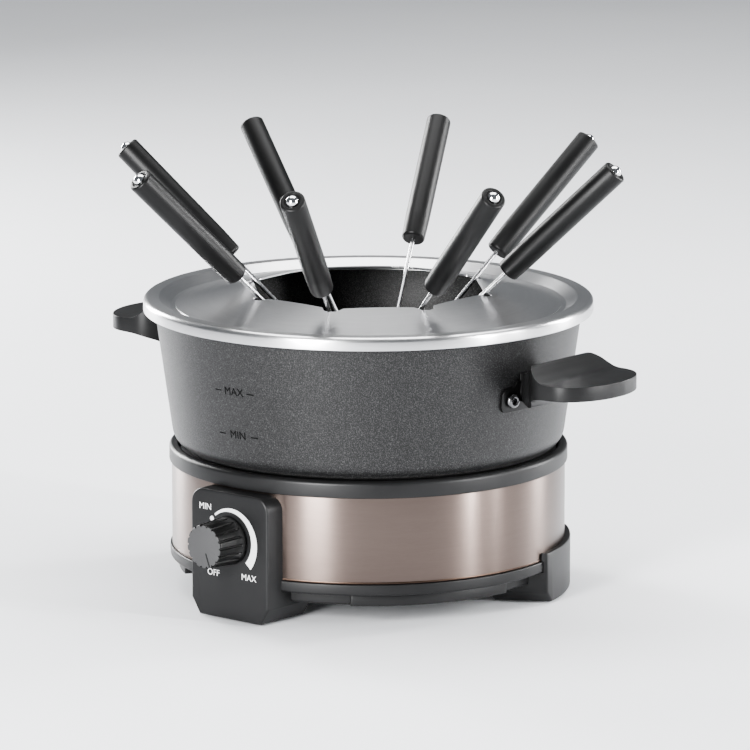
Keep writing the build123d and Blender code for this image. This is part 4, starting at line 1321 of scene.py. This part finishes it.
@dataclass
class Fork:
    """One fondue fork: grip, end cap, shaft and two barbed tines."""

    number: int
    guard: Guard
    lean: float = 46.0
    shift: float = 0.002
    swirl: float = 2.7
    notch_at: float = 0.0625
    notch_z: float = 0.1588
    shaft_r: float = 0.00112
    reach: float = 0.1136
    head: float = 0.014
    head_w: float = 0.0042
    head_t: float = 0.0012
    grip_start: float = 0.0185
    grip_len: float = 0.080
    grip_r: float = 0.0065
    cap_r: float = 0.00335
    cap_dome: float = 0.0026

    def frame(self) -> Matrix:
        """Matrix from the fork's own axes (Z up the shaft, X across it) to its place in a notch."""
        pitch = 360.0 / self.guard.forks
        angle = math.radians(pitch / 2 + self.number * pitch)
        heading = angle + math.radians(self.swirl)
        lean = math.radians(self.lean)
        across = Vector((-math.sin(angle), math.cos(angle), 0))
        origin = Vector((self.notch_at * math.cos(angle), self.notch_at * math.sin(angle), self.notch_z))
        origin -= across * self.shift
        along = Vector((math.sin(lean) * math.cos(heading), math.sin(lean) * math.sin(heading), math.cos(lean)))
        wide = Vector((-math.sin(heading), math.cos(heading), 0))
        turn = Matrix((wide, along.cross(wide), along)).transposed().to_4x4()
        return Matrix.Translation(origin) @ turn

    def make(self) -> None:
        """Build and dress the fork."""
        body = f"fork_{self.number + 1}"
        at = self.frame()
        top = self.grip_start + self.grip_len
        grip = [
            (self.shaft_r, self.grip_start),
            (self.grip_r - 0.0004, self.grip_start),
            (self.grip_r, self.grip_start + 0.014),
            (self.grip_r, top),
            (self.cap_r + 0.0011, top),
            (self.cap_r + 0.0006, top - 0.0007),
            (self.cap_r + 0.00005, top - 0.0007),
            (self.cap_r + 0.00005, top - 0.005),
            (self.shaft_r, top - 0.005),
        ]
        profile = rounded(grip, {1: 0.0016, 2: 0.02, 3: 0.0011, 4: 0.0003}, 6)
        deliver(place(turned(profile, 64), at), body + "_grip", body, [FORK_GRIP], (body + "_handle",))
        self.make_cap(body, at, top)
        self.make_shaft(body, at)

    def make_cap(self, body: str, at: Matrix, top: float) -> None:
        """Domed cap pressed into the grip's end."""
        dome = (self.cap_r**2 + self.cap_dome**2) / (2 * self.cap_dome)
        limit = math.asin(self.cap_r / dome)
        outline = [(0.0, top - 0.0048), (self.cap_r, top - 0.0048), (self.cap_r, top - 0.0001)]
        for step in range(10, -1, -1):
            turn = limit * step / 10
            outline.append((dome * math.sin(turn), top + self.cap_dome - dome + dome * math.cos(turn)))
        deliver(place(turned(outline, 40, False), at), body + "_dome", body, [CHROME], (body + "_cap",))

    def make_shaft(self, body: str, at: Matrix) -> None:
        """Round shaft that flattens into a bridge with two barbed tines."""
        neck = -self.reach + self.head
        hidden = self.grip_start + 0.029
        wire = [(0.0, neck - 0.001), (self.shaft_r, neck - 0.0008), (self.shaft_r, hidden), (0.0, hidden)]
        shaft = turned(wire, 24, False)
        half = self.head_w / 2
        bridge = neck - 0.0035
        tip = -self.reach
        inner = 0.0007
        right = [
            (self.shaft_r, neck),
            (half, bridge),
            (half, tip + 0.0034),
            (half, tip + 0.0026),
            (half - 0.0003, tip + 0.0024),
            (inner + 0.0002, tip),
            (inner, tip + 0.0026),
            (inner, bridge - 0.0015),
        ]
        left = [(-x, z) for x, z in reversed(right)]
        head = prism(right + left, -self.head_t / 2, self.head_t / 2)
        soften(head, 0.00025, 2, 30.0)
        place(head, Matrix.Rotation(math.radians(90), 4, "X"))
        deliver(place(merged([shaft, head]), at), body + "_prong", body, [WIRE_STEEL], (body + "_shaft",), 35.0)


# --- studio -------------------------------------------------------------------------------


@dataclass
class Studio:
    """Pale floor, soft lights and the camera."""

    azimuth: float = 39.7
    elevation: float = 11.46
    distance: float = 3.310
    aim: float = 0.1122
    lens: float = 302.4
    sidestep: float = 0.00347

    def make(self) -> None:
        """Set up the floor, lights, world and camera."""
        self.make_floor()
        self.make_world()
        self.make_lights()
        self.make_camera()

    def direction(self, azimuth: float, elevation: float) -> Vector:
        """Unit vector from the object towards a place, azimuth measured from the camera's side."""
        a = math.radians(self.azimuth + azimuth)
        e = math.radians(elevation)
        return Vector((math.sin(a) * math.cos(e), -math.cos(a) * math.cos(e), math.sin(e)))

    def make_floor(self) -> None:
        """Large pale worktop."""
        bm = bmesh.new()
        bmesh.ops.create_grid(bm, x_segments=1, y_segments=1, size=9.0)
        mesh = bpy.data.meshes.new("worktop")
        bm.to_mesh(mesh)
        bm.free()
        shader = Shader("worktop_white")
        cloud = shader.noise(3.0, 3.0)
        mesh.materials.append(
            shader.surface(
                Base_Color=shader.blend(cloud.band(0.3, 0.7), (0.80, 0.81, 0.83), (0.83, 0.84, 0.86)),
                Roughness=0.55,
                Specular_IOR_Level=0.3,
            )
        )
        floor = bpy.data.objects.new("worktop", mesh)
        bpy.context.scene.collection.objects.link(floor)

    def make_world(self) -> None:
        """Even pale surroundings."""
        world = bpy.data.worlds.new("studio")
        world.use_nodes = True
        world.node_tree.nodes["Background"].inputs["Color"].default_value = (0.86, 0.9, 0.95, 1)
        world.node_tree.nodes["Background"].inputs["Strength"].default_value = 0.2
        bpy.context.scene.world = world

    def make_lights(self) -> None:
        """Soft boxes: one overhead, the rest upright round the object."""
        target = Vector((0, 0, 0.11))
        boxes = (
            ("overhead", 175, 76, 2.0, 2.2, 1.6, 62.0),
            ("left_front", -29, 13, 1.5, 0.36, 0.8, 48.0),
            ("right_strip", 60, 13, 1.5, 0.05, 0.8, 24.0),
            ("right_soft", 77, 13, 1.5, 0.10, 0.8, 8.0),
            ("right_side", 114, 13, 1.5, 0.24, 0.8, 22.0),
            ("left_back", -140, 14, 1.6, 0.36, 0.8, 36.0),
        )
        for name, azimuth, elevation, distance, wide, tall, power in boxes:
            lamp = bpy.data.lights.new(name, "AREA")
            lamp.shape = "RECTANGLE"
            lamp.size = wide
            lamp.size_y = tall
            lamp.energy = power
            holder = bpy.data.objects.new(name, lamp)
            away = self.direction(azimuth, elevation)
            holder.location = target + away * distance
            holder.rotation_euler = away.to_track_quat("Z", "Y").to_euler()
            holder.visible_camera = False
            bpy.context.scene.collection.objects.link(holder)

    def make_camera(self) -> None:
        """Long lens, a little above the object."""
        camera = bpy.data.cameras.new("camera")
        camera.lens = self.lens
        camera.sensor_width = 36.0
        camera.clip_end = 100.0
        holder = bpy.data.objects.new("camera", camera)
        back = self.direction(0.0, self.elevation)
        a = math.radians(self.azimuth)
        side = Vector((math.cos(a), math.sin(a), 0)) * self.sidestep
        holder.location = Vector((0, 0, self.aim)) + back * self.distance + side
        holder.rotation_euler = back.to_track_quat("Z", "Y").to_euler()
        bpy.context.scene.collection.objects.link(holder)
        bpy.context.scene.camera = holder
        bpy.context.scene.view_settings.look = "AgX - Medium High Contrast"


def main() -> None:
    """Build every sub-assembly, then the studio."""
    logging.basicConfig(level=logging.INFO, format="%(name)s: %(message)s")
    base = Base()
    base.make()
    Controls(base).make()
    Pot().make()
    guard = Guard()
    guard.make()
    for number in range(guard.forks):
        Fork(number, guard).make()
    Studio().make()


if __name__ == "__main__":
    main()
